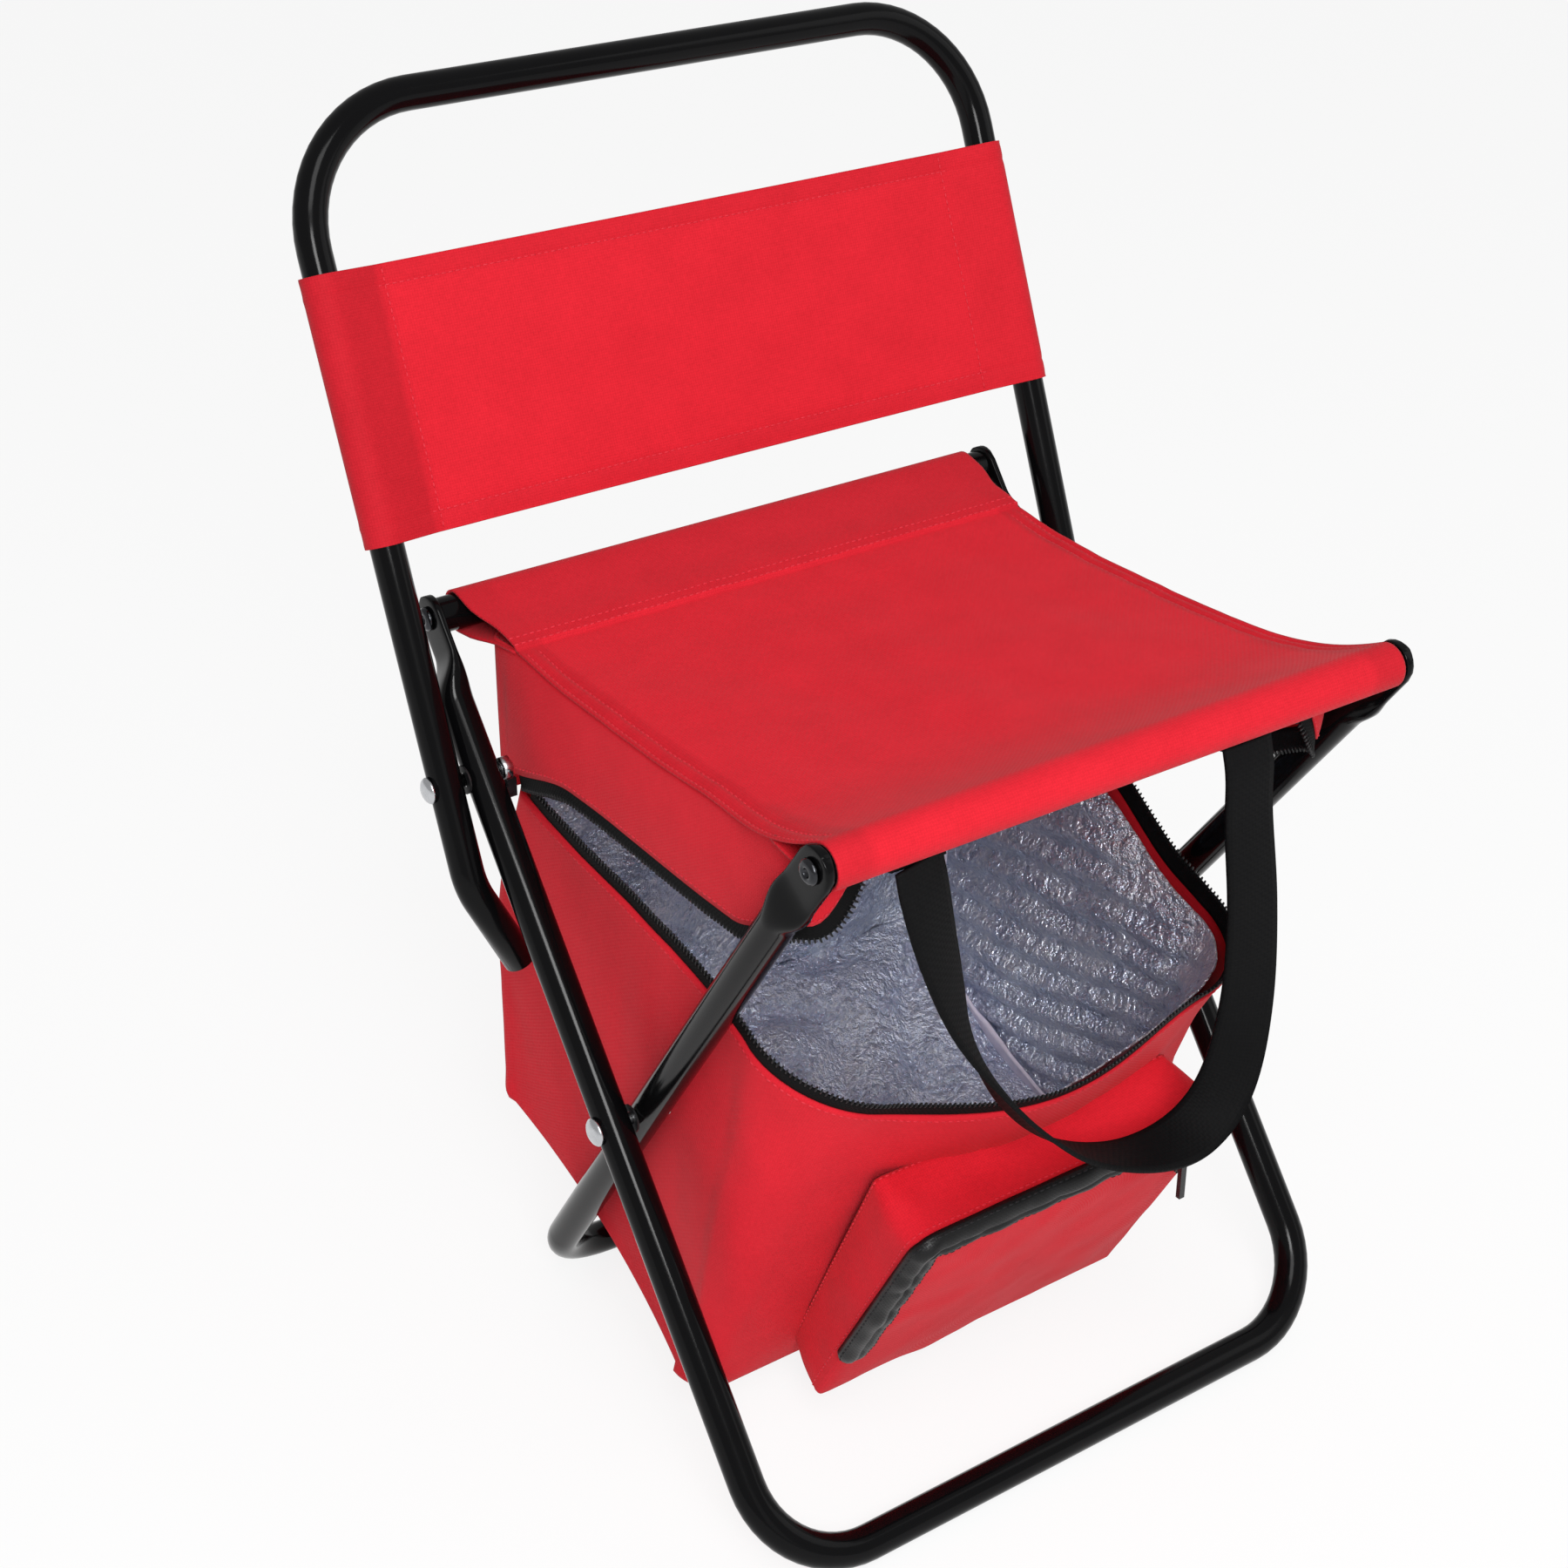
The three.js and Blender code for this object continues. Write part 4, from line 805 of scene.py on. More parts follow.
# seat: one strip of cloth with a loop round each rail, the rear one sewn down 45 mm ahead of the rail
seat = {"half": 138.0, "cloth": 1.2, "loop": 9.2, "seamY": 72.0, "seamZ": 352.6, "rearWide": 4.0,
        "frontWide": 6.0, "widenRear": (86, 20), "widenFront": (-70, -80), "sag": 3.0, "riseY": -92.0,
        "riseZ": 352.5, "riseSlope": 0.06, "roll": 27.0, "joinY": -128.0, "joinDrop": 1.5, "hem": (2.6, 8.4),
        "hemRows": (40, 101), "sewnRows": (34.9, 36.4), "overlap": 1.7, "ply": 1.4, "groove": 1.3,
        "grooveDeep": 1.5, "edgeDrop": 1.2, "seamRow": 37, "panelRows": 66,
        "waves": ((2.6, (75, 110, 75), 3), (0.7, (24, 34, 24), 4)),
        "seamPucker": ((0.5, (9, 60, 60), 5),), "hemPucker": ((0.6, (60, 10, 60), 6),)}


def touch(apex, centre, radius, side):
    # where a line from a point meets a circle
    reach = centre - apex
    far = np.linalg.norm(reach)
    angle = bearing(reach) + side * math.asin(radius / far)
    return apex + math.sqrt(far * far - radius * radius) * np.array([math.cos(angle), math.sin(angle)])


def seatPath():
    rear, front, r = rearRail[1:], frontRail[1:], seat["loop"]
    seam = np.array([seat["seamY"], seat["seamZ"]])
    under = seam - [0, seat["ply"]]
    low, high = touch(under, rear, r, -1), touch(seam, rear, r, 1)
    line = list(spread([under, low], 9)[:-1])
    line += arc(rear, r, bearing(low - rear), bearing(high - rear), 18)
    line += list(spread([high, seam], 12)[1:])
    top = math.radians(90 - seat["roll"])
    end = arc(front, r, top, top, 1)[0]
    foot = np.array([seat["riseY"], seat["riseZ"]])
    for t in np.r_[0.003, 0.008, np.linspace(0, 1, 46)[1:]]:
        line.append(seam + (foot - seam) * t - [0, seat["sag"] * 4 * t * (1 - t)])
    rise = foot[0] - end[0]
    for t in np.linspace(0, 1, 19)[1:]:
        z = (2 * t ** 3 - 3 * t * t + 1) * foot[1] + (t ** 3 - 2 * t * t + t) * seat["riseSlope"] * rise
        z += (3 * t * t - 2 * t ** 3) * end[1] + (t ** 3 - t * t) * math.tan(math.radians(seat["roll"])) * rise
        line.append(np.array([foot[0] - rise * t, z]))
    sheet = np.array(line[1 - seat["panelRows"]:])
    join = np.array([seat["joinY"], np.interp(-seat["joinY"], -sheet[:, 0], sheet[:, 1]) - seat["joinDrop"]])
    under = touch(join, front, r, 1)
    line += arc(front, r, top, bearing(under - front) % (2 * math.pi), 18)[1:]
    line += list(spread([under, join], 8)[1:])
    return np.array(line)


seatLine = seatPath()
panel = slice(seat["seamRow"], seat["seamRow"] + seat["panelRows"])    # from the seam to the front rail


def seatGrid():
    edge = [-1, -0.993, -0.987, -0.981, -0.975, -0.965, -0.955, -0.947, -0.939, -0.931, -0.92, -0.9]
    across = np.r_[edge, np.linspace(-0.87, 0.87, 50), -np.array(edge[::-1])]
    y, z = seatLine[:, 0], seatLine[:, 1]
    half = seat["half"] + seat["rearWide"] * ramp(y, *seat["widenRear"])
    half = half + seat["frontWide"] * ramp(y, *seat["widenFront"])
    grid = np.zeros((len(seatLine), len(across), 3))
    grid[..., 0] = half[:, None] * across
    grid[..., 1] = y[:, None]
    grid[..., 2] = z[:, None]
    free = np.zeros(len(y))
    rows = np.arange(len(y))
    seam, last = panel.start, panel.stop - 1
    free[panel] = np.minimum(ramp(rows[panel], seam + 1, 9), ramp(rows[panel], last, -14))
    grid[..., 2] += ripples(grid, seat["waves"]) * free[:, None]
    # cloth puckers a little along the seam and the side hems, and each row of stitches pulls it down
    near = np.exp(-((rows - seam) / 3.0) ** 2)
    grid[..., 2] += (seat["overlap"] * ramp(rows, seam - 7, 5) * (rows <= seam))[:, None]
    grid[..., 2] += near[:, None] * ripples(grid, seat["seamPucker"])
    side = np.exp(-((seat["half"] - 7 - np.abs(grid[..., 0])) / 7) ** 2) * free[:, None]
    grid[..., 2] += side * ripples(grid, seat["hemPucker"])
    for inset in seat["hem"]:
        away = np.abs(grid[..., 0]) - half[:, None] + inset
        grid[..., 2] -= seat["grooveDeep"] * np.exp(-(away / seat["groove"]) ** 2) * np.sqrt(free)[:, None]
    grid[..., 2] -= seat["edgeDrop"] * ramp(np.abs(grid[..., 0]), seat["half"] - 10, 12) * free[:, None]
    return grid


seatCloth = seatGrid()
# painted shade: the seat's rear loop and its side hems are darkened in the base colour as doubled cloth
onSleeve = np.arange(len(seatCloth)) < seat["seamRow"]
onHem = ramp(np.abs(seatCloth[..., 0]), seat["half"] - 12.5, 1.5)
seatPlyShade = np.maximum(0.5 * onSleeve[:, None], 0.7 * onHem)
seatPiece = clothSheet("seatCloth", [seatCloth], seat["cloth"], redOxford, ply=seatPlyShade)
drape(seatPiece, "red_polyester", "seat_sling")
acrossX = seatCloth[62, :, 0]    # a row in the middle of the panel
seatRows = [gridLine(seatCloth, -stitch["lift"], row=k, first=1, last=-1) for k in seat["sewnRows"]]
first, last = seat["hemRows"]
for side in (-1, 1):
    for inset in seat["hem"]:
        at = indexOf(acrossX, side * (seat["half"] - inset))
        seatRows.append(gridLine(seatCloth, -stitch["lift"], col=at, first=first, last=last))
seatStitches = drape(stitches("seatStitches", seatRows, redThread, 11), "red_polyester")
print("seat made")

# backrest panel: a strip across the arms with a loop round each arm, sewn down 25 mm inside it
rest = {"low": 106.0, "high": 221.0, "loop": 8.7, "seamX": 150.0, "out": 0.6, "ply": 1.3, "cloth": 1.2,
        "hem": 9.0, "bow": 3.0, "flatSteps": 34, "edge": (0, 0.4, 1.2, 2.2, 3.2, 5, 7, 8, 9, 10, 12),
        "sleeveShadeBySide": (1.0, 0.3), "grooves": ((0.5, 9.0, 1.2), (0.3, 1.5, 1.5)),
        "waves": ((1.2, (80, 60, 60), 8), (0.5, (30, 20, 20), 9))}


def restGrid():
    arm = np.array([backArms["x"], 0.0])
    seam = np.array([rest["seamX"], rest["out"]])
    back = seam - [0, rest["ply"]]
    front, rear = touch(seam, arm, rest["loop"], 1), touch(back, arm, rest["loop"], -1)
    half = list(spread([[0.0, rest["out"]], seam], rest["flatSteps"])) + list(spread([seam, front], 8)[1:])
    half += arc(arm, rest["loop"], bearing(front - arm), bearing(rear - arm), 16)[1:]
    half += list(spread([rear, back], 8)[1:])
    half = np.array(half)
    line = np.vstack([half[:0:-1] * [-1, 1], half])
    tall = rest["high"] - rest["low"]
    edge = np.array(rest["edge"])
    ups = np.r_[edge, np.linspace(16, tall - 16, 24), tall - edge[::-1]] + rest["low"]
    grid = np.zeros((len(ups), len(line), 3))
    for i, s in enumerate(ups):
        grid[i] = backPivot + backUp * s + line[:, :1] * xAxis + line[:, 1:] * backAhead
    free = np.zeros(len(line))
    middle = len(half) - 1
    flat = rest["flatSteps"] - 1
    free[middle - flat:middle + flat + 1] = ramp(np.abs(np.arange(-flat, flat + 1)), flat, -6)
    bow = rest["bow"] * (1 - (line[:, 0] / rest["seamX"]) ** 2) * free
    edge = np.minimum(ups - ups[0], ups[-1] - ups)
    groove = sum(deep * np.exp(-((edge - at) / wide) ** 2) for deep, at, wide in rest["grooves"])
    move = (ripples(grid, rest["waves"]) * free[None, :] - bow[None, :]) - groove[:, None]
    return grid + move[..., None] * backAhead, ups, line


restCloth, restUps, restLine = restGrid()
restEdge = np.minimum(restUps - restUps[0], restUps[-1] - restUps)
# painted shade: the sleeves round the arms and the top and bottom hems are darkened in the base colour as
# doubled cloth; the left sleeve more than the right, as light falls on the two sides differently
sleeveShadeBySide = np.where(restLine[:, 0] < 0, *rest["sleeveShadeBySide"])
sleevePlyShade = ramp(np.abs(restLine[:, 0]), rest["seamX"] - 1, 2) * sleeveShadeBySide
restPlyShade = np.maximum(sleevePlyShade[None, :], 0.4 * ramp(restEdge, 10.5, -1.5)[:, None])
restPiece = clothSheet("backrestCloth", [restCloth], rest["cloth"], redOxford, ply=restPlyShade)
settle(restPiece, "back", "red_polyester", "back_panel")
onSeam = np.abs(np.abs(restLine[:, 0]) - rest["seamX"]) < 0.01
seamAt = np.where(onSeam & (restLine[:, 1] > 0))[0].tolist()
restLift = stitch["lift"] * sideOf(restCloth, 20, len(restLine) // 2, backAhead)
restRows = []
for k in seamAt:
    step = 1 if k < len(restLine) / 2 else -1
    restRows.append(gridLine(restCloth, restLift, col=k + step * 0.5, first=4, last=-4, count=60))
for up in (rest["low"] + rest["hem"], rest["high"] - rest["hem"]):
    row = indexOf(restUps, up)
    restRows.append(gridLine(restCloth, restLift, row=row, first=seamAt[0], last=seamAt[1] + 1))
restStitches = settle(stitches("backrestStitches", restRows, redThread, 12), "back", "red_polyester")
print("backrest made")

# lid skirt: a band sewn under the seat's sides and rear, its front corners curl in and tuck up under the seat
skirt = {"x": 136.0, "rearY": 98.35, "frontY": -146.0, "endX": 112.0, "rearCorner": 8.0, "frontCorner": 20.0,
         "cloth": 1.2, "low": 287.0, "hinge": 270.0, "sewnZ": 352.0, "sewnSlope": 0.09, "under": 0.3,
         "tuckZ": 353.2, "tuck": (-124, -18), "rear": (81, 6), "arch": 14.0, "archAt": (92, -60),
         "cornerRise": 19.0, "riseAt": (-92, -48), "curlZ": 347, "curlAt": (-130, -12), "columns": 14,
         "belly": 1.6, "push": 1.6, "waves": ((1.3, (50, 50, 60), 14),), "sewn": (12.3, 12.4)}


def skirtLine():
    x, rear, front = -skirt["x"], skirt["rearY"], skirt["frontY"]
    half = bentPath([(0, rear, 0), (x, rear, 0), (x, front, 0), (-skirt["endX"], front - 1, 0)],
                    (skirt["rearCorner"], skirt["frontCorner"]), 10)
    half = spread(half, 150)
    return np.vstack([half[:0:-1] * [-1, 1, 1], half])


def skirtGrid():
    line = skirtLine()
    x, y = np.abs(line[:, 0]), line[:, 1]
    hem = [np.argmin(np.abs(acrossX - side * skirt["x"])) for side in (-1, 1)]
    edges = [np.interp(-y, -seatCloth[panel, k, 1], seatCloth[panel, k, 2]) for k in hem]
    high = np.where(y > seat["seamY"], skirt["sewnZ"] - (y - seat["seamY"]) * skirt["sewnSlope"],
                    np.where(line[:, 0] < 0, *edges) - skirt["under"])
    tuck = ramp(y, *skirt["tuck"])
    high = high * (1 - tuck) + skirt["tuckZ"] * tuck
    rear = ramp(y, *skirt["rear"])
    low = skirt["low"] - (skirt["low"] - skirt["hinge"]) * rear
    low = low + skirt["arch"] * ramp(y, *skirt["archAt"]) * (1 - rear)
    low = low + skirt["cornerRise"] * ramp(y, *skirt["riseAt"])
    curl = ramp(x, skirt["x"] - 3, -21) * ramp(y, *skirt["curlAt"])
    low = low + (skirt["curlZ"] - low) * curl
    s = np.linspace(0, 1, skirt["columns"])
    grid = np.zeros((len(line), len(s), 3))
    grid[..., :2] = line[:, None, :2]
    grid[..., 2] = high[:, None] + (low - high)[:, None] * s
    out = unit(np.cross(np.gradient(line, axis=0), [0, 0, 1.0]))
    if out[75] @ xAxis < 0:
        out = -out
    belly = skirt["belly"] * np.sin(math.pi * s) + ripples(grid, skirt["waves"]) * smooth(s / 0.3)
    belly = belly * (1 - curl[:, None] * 0.7) * (1 - 0.8 * rear[:, None])
    belly = belly + skirt["push"] * rear[:, None] * ramp(s, 0.8, 0.12)
    return grid + belly[..., None] * out[:, None, :], out


skirtCloth, skirtOut = skirtGrid()
skirtPiece = clothSheet("lidSkirtCloth", [skirtCloth], skirt["cloth"], redOxford)
drape(skirtPiece, "red_polyester", "lid_skirt")

# upper zip tape along the skirt's lower edge, from 20 mm ahead of the rear corner round both front corners
tape = {"wide": 9.5, "over": 3.0, "thick": 1.1, "inside": 1.3, "toothOut": 0.4, "toothPitch": 2.3,
        "tooth": (1.1, 3.6, 1.8), "insideX": 60, "rearY": 79.5}


def edgeTape(edge, out, up):
    # a strip that starts behind a cloth edge and stands past it, and the line of its teeth
    s = np.linspace(-tape["over"], tape["wide"] - tape["over"], 6)
    inside = np.where(s < 0.4, tape["inside"], tape["inside"] - 0.5)
    strip = edge[:, None, :] + up[:, None, :] * s[None, :, None] - out[:, None, :] * inside[None, :, None]
    return strip, (strip[:, -1] + up * tape["toothOut"], out)


upperTapes, upperTeeth = [], []
lowEdge = skirtCloth[:, -1]
onSide = (np.abs(lowEdge[:, 0]) > tape["insideX"]) & (lowEdge[:, 1] < tape["rearY"])
sideRuns = [np.where(onSide & (lowEdge[:, 0] * side > 0))[0] for side in (1, -1)]
for pick in sideRuns:
    edge, out = lowEdge[pick], skirtOut[pick]
    down = unit(np.cross(unit(np.gradient(edge, axis=0)), out))
    strip, teeth = edgeTape(edge, out, np.where(down[:, 2:] > 0, -down, down))
    upperTapes.append(strip)
    upperTeeth.append(teeth)
upperTape = clothSheet("upperZipTape", upperTapes, tape["thick"], zipTape)
drape(upperTape, "black_nylon", "zip_upper_tape")
upperTooth = drape(stitches("upperZipTeeth", upperTeeth, blackNylon, 21, tape["tooth"], tape["toothPitch"]),
                   "black_nylon")
skirtLift = stitch["lift"] * sideOf(skirtCloth, 75, 6, skirtOut[75])
skirtRuns = [(pick, skirt["sewn"][0], 220) for pick in sideRuns]
skirtRuns.append((np.where(lowEdge[:, 1] > 90)[0], skirt["sewn"][1], 160))
skirtRows = [gridLine(skirtCloth, skirtLift, col=col, first=int(run[0]), last=int(run[-1]) + 1, count=count)
             for run, col, count in skirtRuns]
skirtStitches = drape(stitches("skirtStitches", skirtRows, redThread, 22), "red_polyester")
print("lid skirt made")

# cooler bag: a lofted shell from its sagging floor to the rim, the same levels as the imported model
bagLevels = [
    {"half": (129, 122.5, 132), "rear": 158, "front": -19, "height": (90, 53, 17), "mid": 17},
    {"half": (129, 124.5, 131), "rear": 157, "front": -40, "height": (128, 95, 68), "mid": 62},
    {"half": (129, 126, 129), "rear": 148, "front": -69, "height": (195, 178, 148), "mid": 125},
    {"half": (128, 128, 129), "rear": 127, "front": -101, "height": (274, 272, 242), "mid": 194},
]
bag = {"rearRound": 9.0, "frontRound": 16.0, "rimRound": 38.0, "cloth": 1.2, "inset": 0.6, "bottom": 0.0,
       "top": 3.0, "rearSteps": 16, "cornerSteps": 7, "frontCornerSteps": 15, "sideSteps": 46, "frontSteps": 28,
       "sag": 5.0, "floorRows": 14, "wallRows": 46}
bagRim = {"at": (0, 0.12, 0.25, 0.42, 0.57, 0.7, 0.8, 0.834),
          "height": (273, 266, 261, 257, 251, 243, 235, 231),
          "corner": 206.0, "middle": 190.5, "power": 2.0, "tilt": (4.0, 18.0), "tiltHalf": 130, "ease": 32.0,
          "ahead": (-10, -60), "swell": (0.0, 2.0, 5.0, 15.0)}
bagSlack = {"dents": ((3.4, (70, 80, 95), 31),), "pleats": ((1.6, (30, 34, 90), 32),), "crease": 3.0,
            "creases": ((0.5, (18, 18, 70), 33),), "cornerX": 118, "cornerWide": 16, "cornerY": (-40, -40),
            "low": (0.0, 0.5), "high": (2.45, 0.5)}


def bowed(three, t):
    # a parabola through its values at 0, a half and 1
    r, s, f = three
    return r + (4 * s - 3 * r - f) * t + 2 * (r + f - 2 * s) * t * t


def bagRing(number, inset):
    # one level's outline from the middle of the rear round to the middle of the front, then mirrored
    level = bagLevels[number]
    rear, front = level["rear"] + cross[1] - inset, level["front"] + cross[1] + inset
    long = rear - front
    rc = max(bag["rearRound"] - inset, 3)
    fc = bag["frontRound"] + (bag["rimRound"] - bag["frontRound"]) * (number / 3) ** 2 - inset
    rearX, frontX = level["half"][0] - inset, level["half"][2] - inset
    rim = number == 3
    sideZ = lambda t: float(np.interp(t, bagRim["at"], bagRim["height"])) if rim else bowed(level["height"], t)
    endZ = bagRim["corner"] if rim else sideZ(1.0)
    midZ, power = (bagRim["middle"], bagRim["power"]) if rim else (level["mid"], 4)
    points = [(x, rear, sideZ(0)) for x in np.linspace(0, rearX - rc, bag["rearSteps"])]
    for a in np.linspace(0, math.pi / 2, bag["cornerSteps"])[1:]:
        back = rc * (1 - math.cos(a))
        points.append((rearX - rc + rc * math.sin(a), rear - rc + rc * math.cos(a), sideZ(back / long)))
    for t in np.linspace(rc / long, 1 - fc / long, bag["sideSteps"])[1:-1]:
        points.append((bowed(level["half"], t) - inset, rear - long * t, sideZ(t)))
    startZ = sideZ(1 - fc / long)
    for a in np.linspace(0, math.pi / 2, bag["frontCornerSteps"]):
        points.append((frontX - fc + fc * math.cos(a), front + fc - fc * math.sin(a),
                       startZ + (endZ - startZ) * a * 2 / math.pi))
    for x in np.linspace(frontX - fc, 0, bag["frontSteps"])[1:]:
        u = x / (frontX - fc)
        bulge = bagRim["swell"][number] * (1 - u * u) ** 2
        points.append((x, front - bulge, endZ + (midZ - endZ) * (1 - u ** power)))
    points = np.array(points)
    ring = np.vstack([points, (points * [-1, 1, 1])[-2:0:-1]])
    # the sewn edge runs round the front in one soft curve, a little lower on the right
    step = np.linalg.norm(np.roll(ring, -1, 0) - ring, axis=1)
    at = np.cumsum(step) - step
    gap = np.abs(at[:, None] - at[None, :])
    share = np.exp(-(np.minimum(gap, step.sum() - gap) / bagRim["ease"]) ** 2) * step
    eased = share @ ring[:, 2] / share.sum(axis=1)
    ahead = ramp(ring[:, 1], *bagRim["ahead"]) * (number / 3) ** 2
    tilt = np.where(ring[:, 0] > 0, -bagRim["tilt"][1], bagRim["tilt"][0])
    tilt = tilt * (ring[:, 0] / bagRim["tiltHalf"]) ** 2
    ring[:, 2] += (eased - ring[:, 2] + tilt) * ahead
    return ring


def bagWall(inset, t):
    # a ring between the levels, on a cubic through all four
    rings = [bagRing(number, inset) for number in range(4)]
    weight = [math.prod((t - k) / (j - k) for k in range(4) if k != j) for j in range(4)]
    return sum(w * r for w, r in zip(weight, rings))


def bagGrid(layer):
    inset, bottom, top, floorRows, wallRows = (
        layer[key] for key in ("inset", "bottom", "top", "floorRows", "wallRows"))
    base = bagWall(inset, bottom)
    middle = np.array([0.0, base[:, 1].mean(), 0.0])
    rows = []
    slope, flat = np.polyfit(base[:, 1], base[:, 2], 1)
    for s in np.linspace(0.06, 1, floorRows)[:-1]:
        ring = middle + (base - middle) * s
        rise = (base[:, 2] - flat - slope * base[:, 1]) * s ** 3
        ring[:, 2] = flat + slope * ring[:, 1] + rise - bag["sag"] * (1 - s * s)
        rows.append(ring)
    heights = [t for t in np.linspace(bottom, 3, wallRows) if t < top - 0.02] + [top]
    rows += [bagWall(inset, t) for t in heights]
    return np.array(rows), np.r_[np.full(floorRows - 1, -1.0), heights]


def bagFolds(grid, levels):
    # slack cloth: soft dents in the walls, sharper upright creases near the front corners, a rim held by tape
    held = ramp(levels, *bagSlack["low"]) * (1 - ramp(levels, *bagSlack["high"]))
    corner = np.exp(-((np.abs(grid[..., 0]) - bagSlack["cornerX"]) / bagSlack["cornerWide"]) ** 2)
    corner = corner * ramp(grid[..., 1], *bagSlack["cornerY"])
    dent = ripples(grid, bagSlack["dents"]) + ripples(grid, bagSlack["pleats"], True)
    crease = -bagSlack["crease"] * corner * (0.5 + ripples(grid, bagSlack["creases"]))
    return (dent + crease) * held[:, None]


def outward(grid):
    return gridNormals(grid, True) * sideOf(grid, len(grid) * 2 // 3, 40, xAxis, True)


bagCloth, bagAt = bagGrid(bag)
bagDent = bagFolds(bagCloth, bagAt)
bagCloth = bagCloth + bagDent[..., None] * outward(bagCloth)
bagPiece = clothSheet("coolerBagCloth", [bagCloth], bag["cloth"], redOxford, loop=True, capFirst=True)
hangBag(bagPiece, "red_polyester", "cooler_bag")

# foil-faced foam lining inside it: puffed between its creases, ending below the rim so that red shows above it
lining = {"inset": 4.6, "thick": 2.0, "bottom": 0.4, "top": 2.88, "floorRows": 40, "wallRows": 84,
          "taped": (2.6, 0.33), "edgeThin": 1.2, "thinAt": (2.7, 0.16), "sideX": (100, 15),
          "wallLow": (0.45, 0.3), "wallHigh": (2.5, 0.3), "grain": ((0.6, 5.5, 43),),
          "puffs": ((13.0, (52, 44, 70), 41), (3.0, (15, 13, 20), 42)),
          "foldStep": 17.0, "foldDeep": 2.4, "foldRise": 0.98, "foldRun": 0.19, "foldSway": ((7, 55, 44),)}
foil, foilAt = bagGrid(lining)
foilDent = bagFolds(foil, foilAt)
held = 1 - ramp(foilAt, *lining["taped"])
puff = ripples(foil, lining["puffs"], True) + ripples(foil, lining["grain"])
onWall = ramp(foilAt, *lining["wallLow"]) * (1 - ramp(foilAt, *lining["wallHigh"]))
onSides = ramp(np.abs(foil[..., 0]), *lining["sideX"]) * onWall[:, None]
# long folds run along the side walls
slant = foil[..., 2] * lining["foldRise"] + foil[..., 1] * lining["foldRun"] + ripples(foil, lining["foldSway"])
folds = lining["foldDeep"] * (1 + np.sin(slant * 2 * math.pi / lining["foldStep"]))
puff = puff * (1 - 0.75 * onSides) + onSides * folds
foil = foil + (foilDent - puff * (0.25 + 0.75 * held[:, None]))[..., None] * outward(foil)
foilThick = lining["thick"] - lining["edgeThin"] * ramp(foilAt, *lining["thinAt"])
foilPiece = clothSheet("foilLining", [foil], foilThick[:, None], foilFilm, loop=True, capFirst=True)
hangBag(foilPiece, "foil_film", "foil_lining", "bag_insulation")

# lower zip tape on the rim
rimOut = outward(bagCloth)[-1]
rimUp = unit(bagCloth[-1] - bagCloth[-3])
first = bag["rearSteps"] + bag["cornerSteps"] - 1
pick = np.arange(first, len(rimOut) - first + 1)
lowerStrip, lowerTeeth = edgeTape(bagCloth[-1][pick], rimOut[pick], rimUp[pick])
lowerTape = clothSheet("lowerZipTape", [lowerStrip], tape["thick"], zipTape)
hangBag(lowerTape, "black_nylon", "zip_lower_tape")
lowerTooth = hangBag(stitches("lowerZipTeeth", [lowerTeeth], blackNylon, 23, tape["tooth"], tape["toothPitch"]),
                     "black_nylon")
bagLift = stitch["lift"] * sideOf(bagCloth, 40, 40, xAxis, True)
bagRows = [gridLine(bagCloth, bagLift, row=len(bagCloth) - 1.9, first=first, last=len(rimOut) - first,
                    loop=True, count=400)]
bagStitches = hangBag(stitches("bagStitches", bagRows, redThread, 24), "red_polyester")

# pale binding on the lining's seams: down a rear corner, along the floor's side and up the front corner
binding = {"wide": 13.0, "thick": 1.6, "off": 4.0, "under": 1.5, "waves": ((2.0, 14, 61),)}
inner = foil - outward(foil) * lining["thick"] / 2
bindStrips = []
count = inner.shape[1]
for side in (1, -1):
    rearCol = bag["rearSteps"] + bag["cornerSteps"] + 3
    frontCol = rearCol + bag["sideSteps"] + bag["frontCornerSteps"] - 6
    cols = [rearCol, frontCol] if side > 0 else [count - rearCol, count - frontCol]
    floorRow = lining["floorRows"] - 1
    steps = np.arange(cols[0], cols[1] + side, side)
    down = inner[len(inner) - 3:floorRow:-3, cols[0]]
    along = inner[floorRow, steps]
    upward = inner[floorRow + 2:len(inner) - 30:3, cols[1]]
    line = np.vstack([down, along, upward])
    leans = ((down, (0.3, -1.0, 0.0)), (along, (0.3, 0.0, 1.0)), (upward, (0.6, 1.0, 0.4)))
    lean = np.vstack([np.tile([-side * x, y, z], (len(run), 1)) for run, (x, y, z) in leans])
    both = spread(np.hstack([line, lean]), 120)
    soft = np.array([both[max(0, i - 4):i + 5].mean(axis=0) for i in range(len(both))])
    soft[:, 0] -= side * binding["off"]
    reach = unit(soft[:, 3:])
    s = np.linspace(-binding["under"], binding["wide"] - binding["under"], 5)
    strip = soft[:, None, :3] + reach[:, None, :] * s[None, :, None]
    flutter = ripples(strip, binding["waves"]) * np.linspace(0, 1, 5)[None, :]
    across = unit(np.cross(np.gradient(soft[:, :3], axis=0), reach))
    bindStrips.append(strip + flutter[..., None] * across[:, None, :])
bindPiece = hangBag(clothSheet("liningBinding", bindStrips, binding["thick"], paleBinding), "foam")
print("bag and lining made")

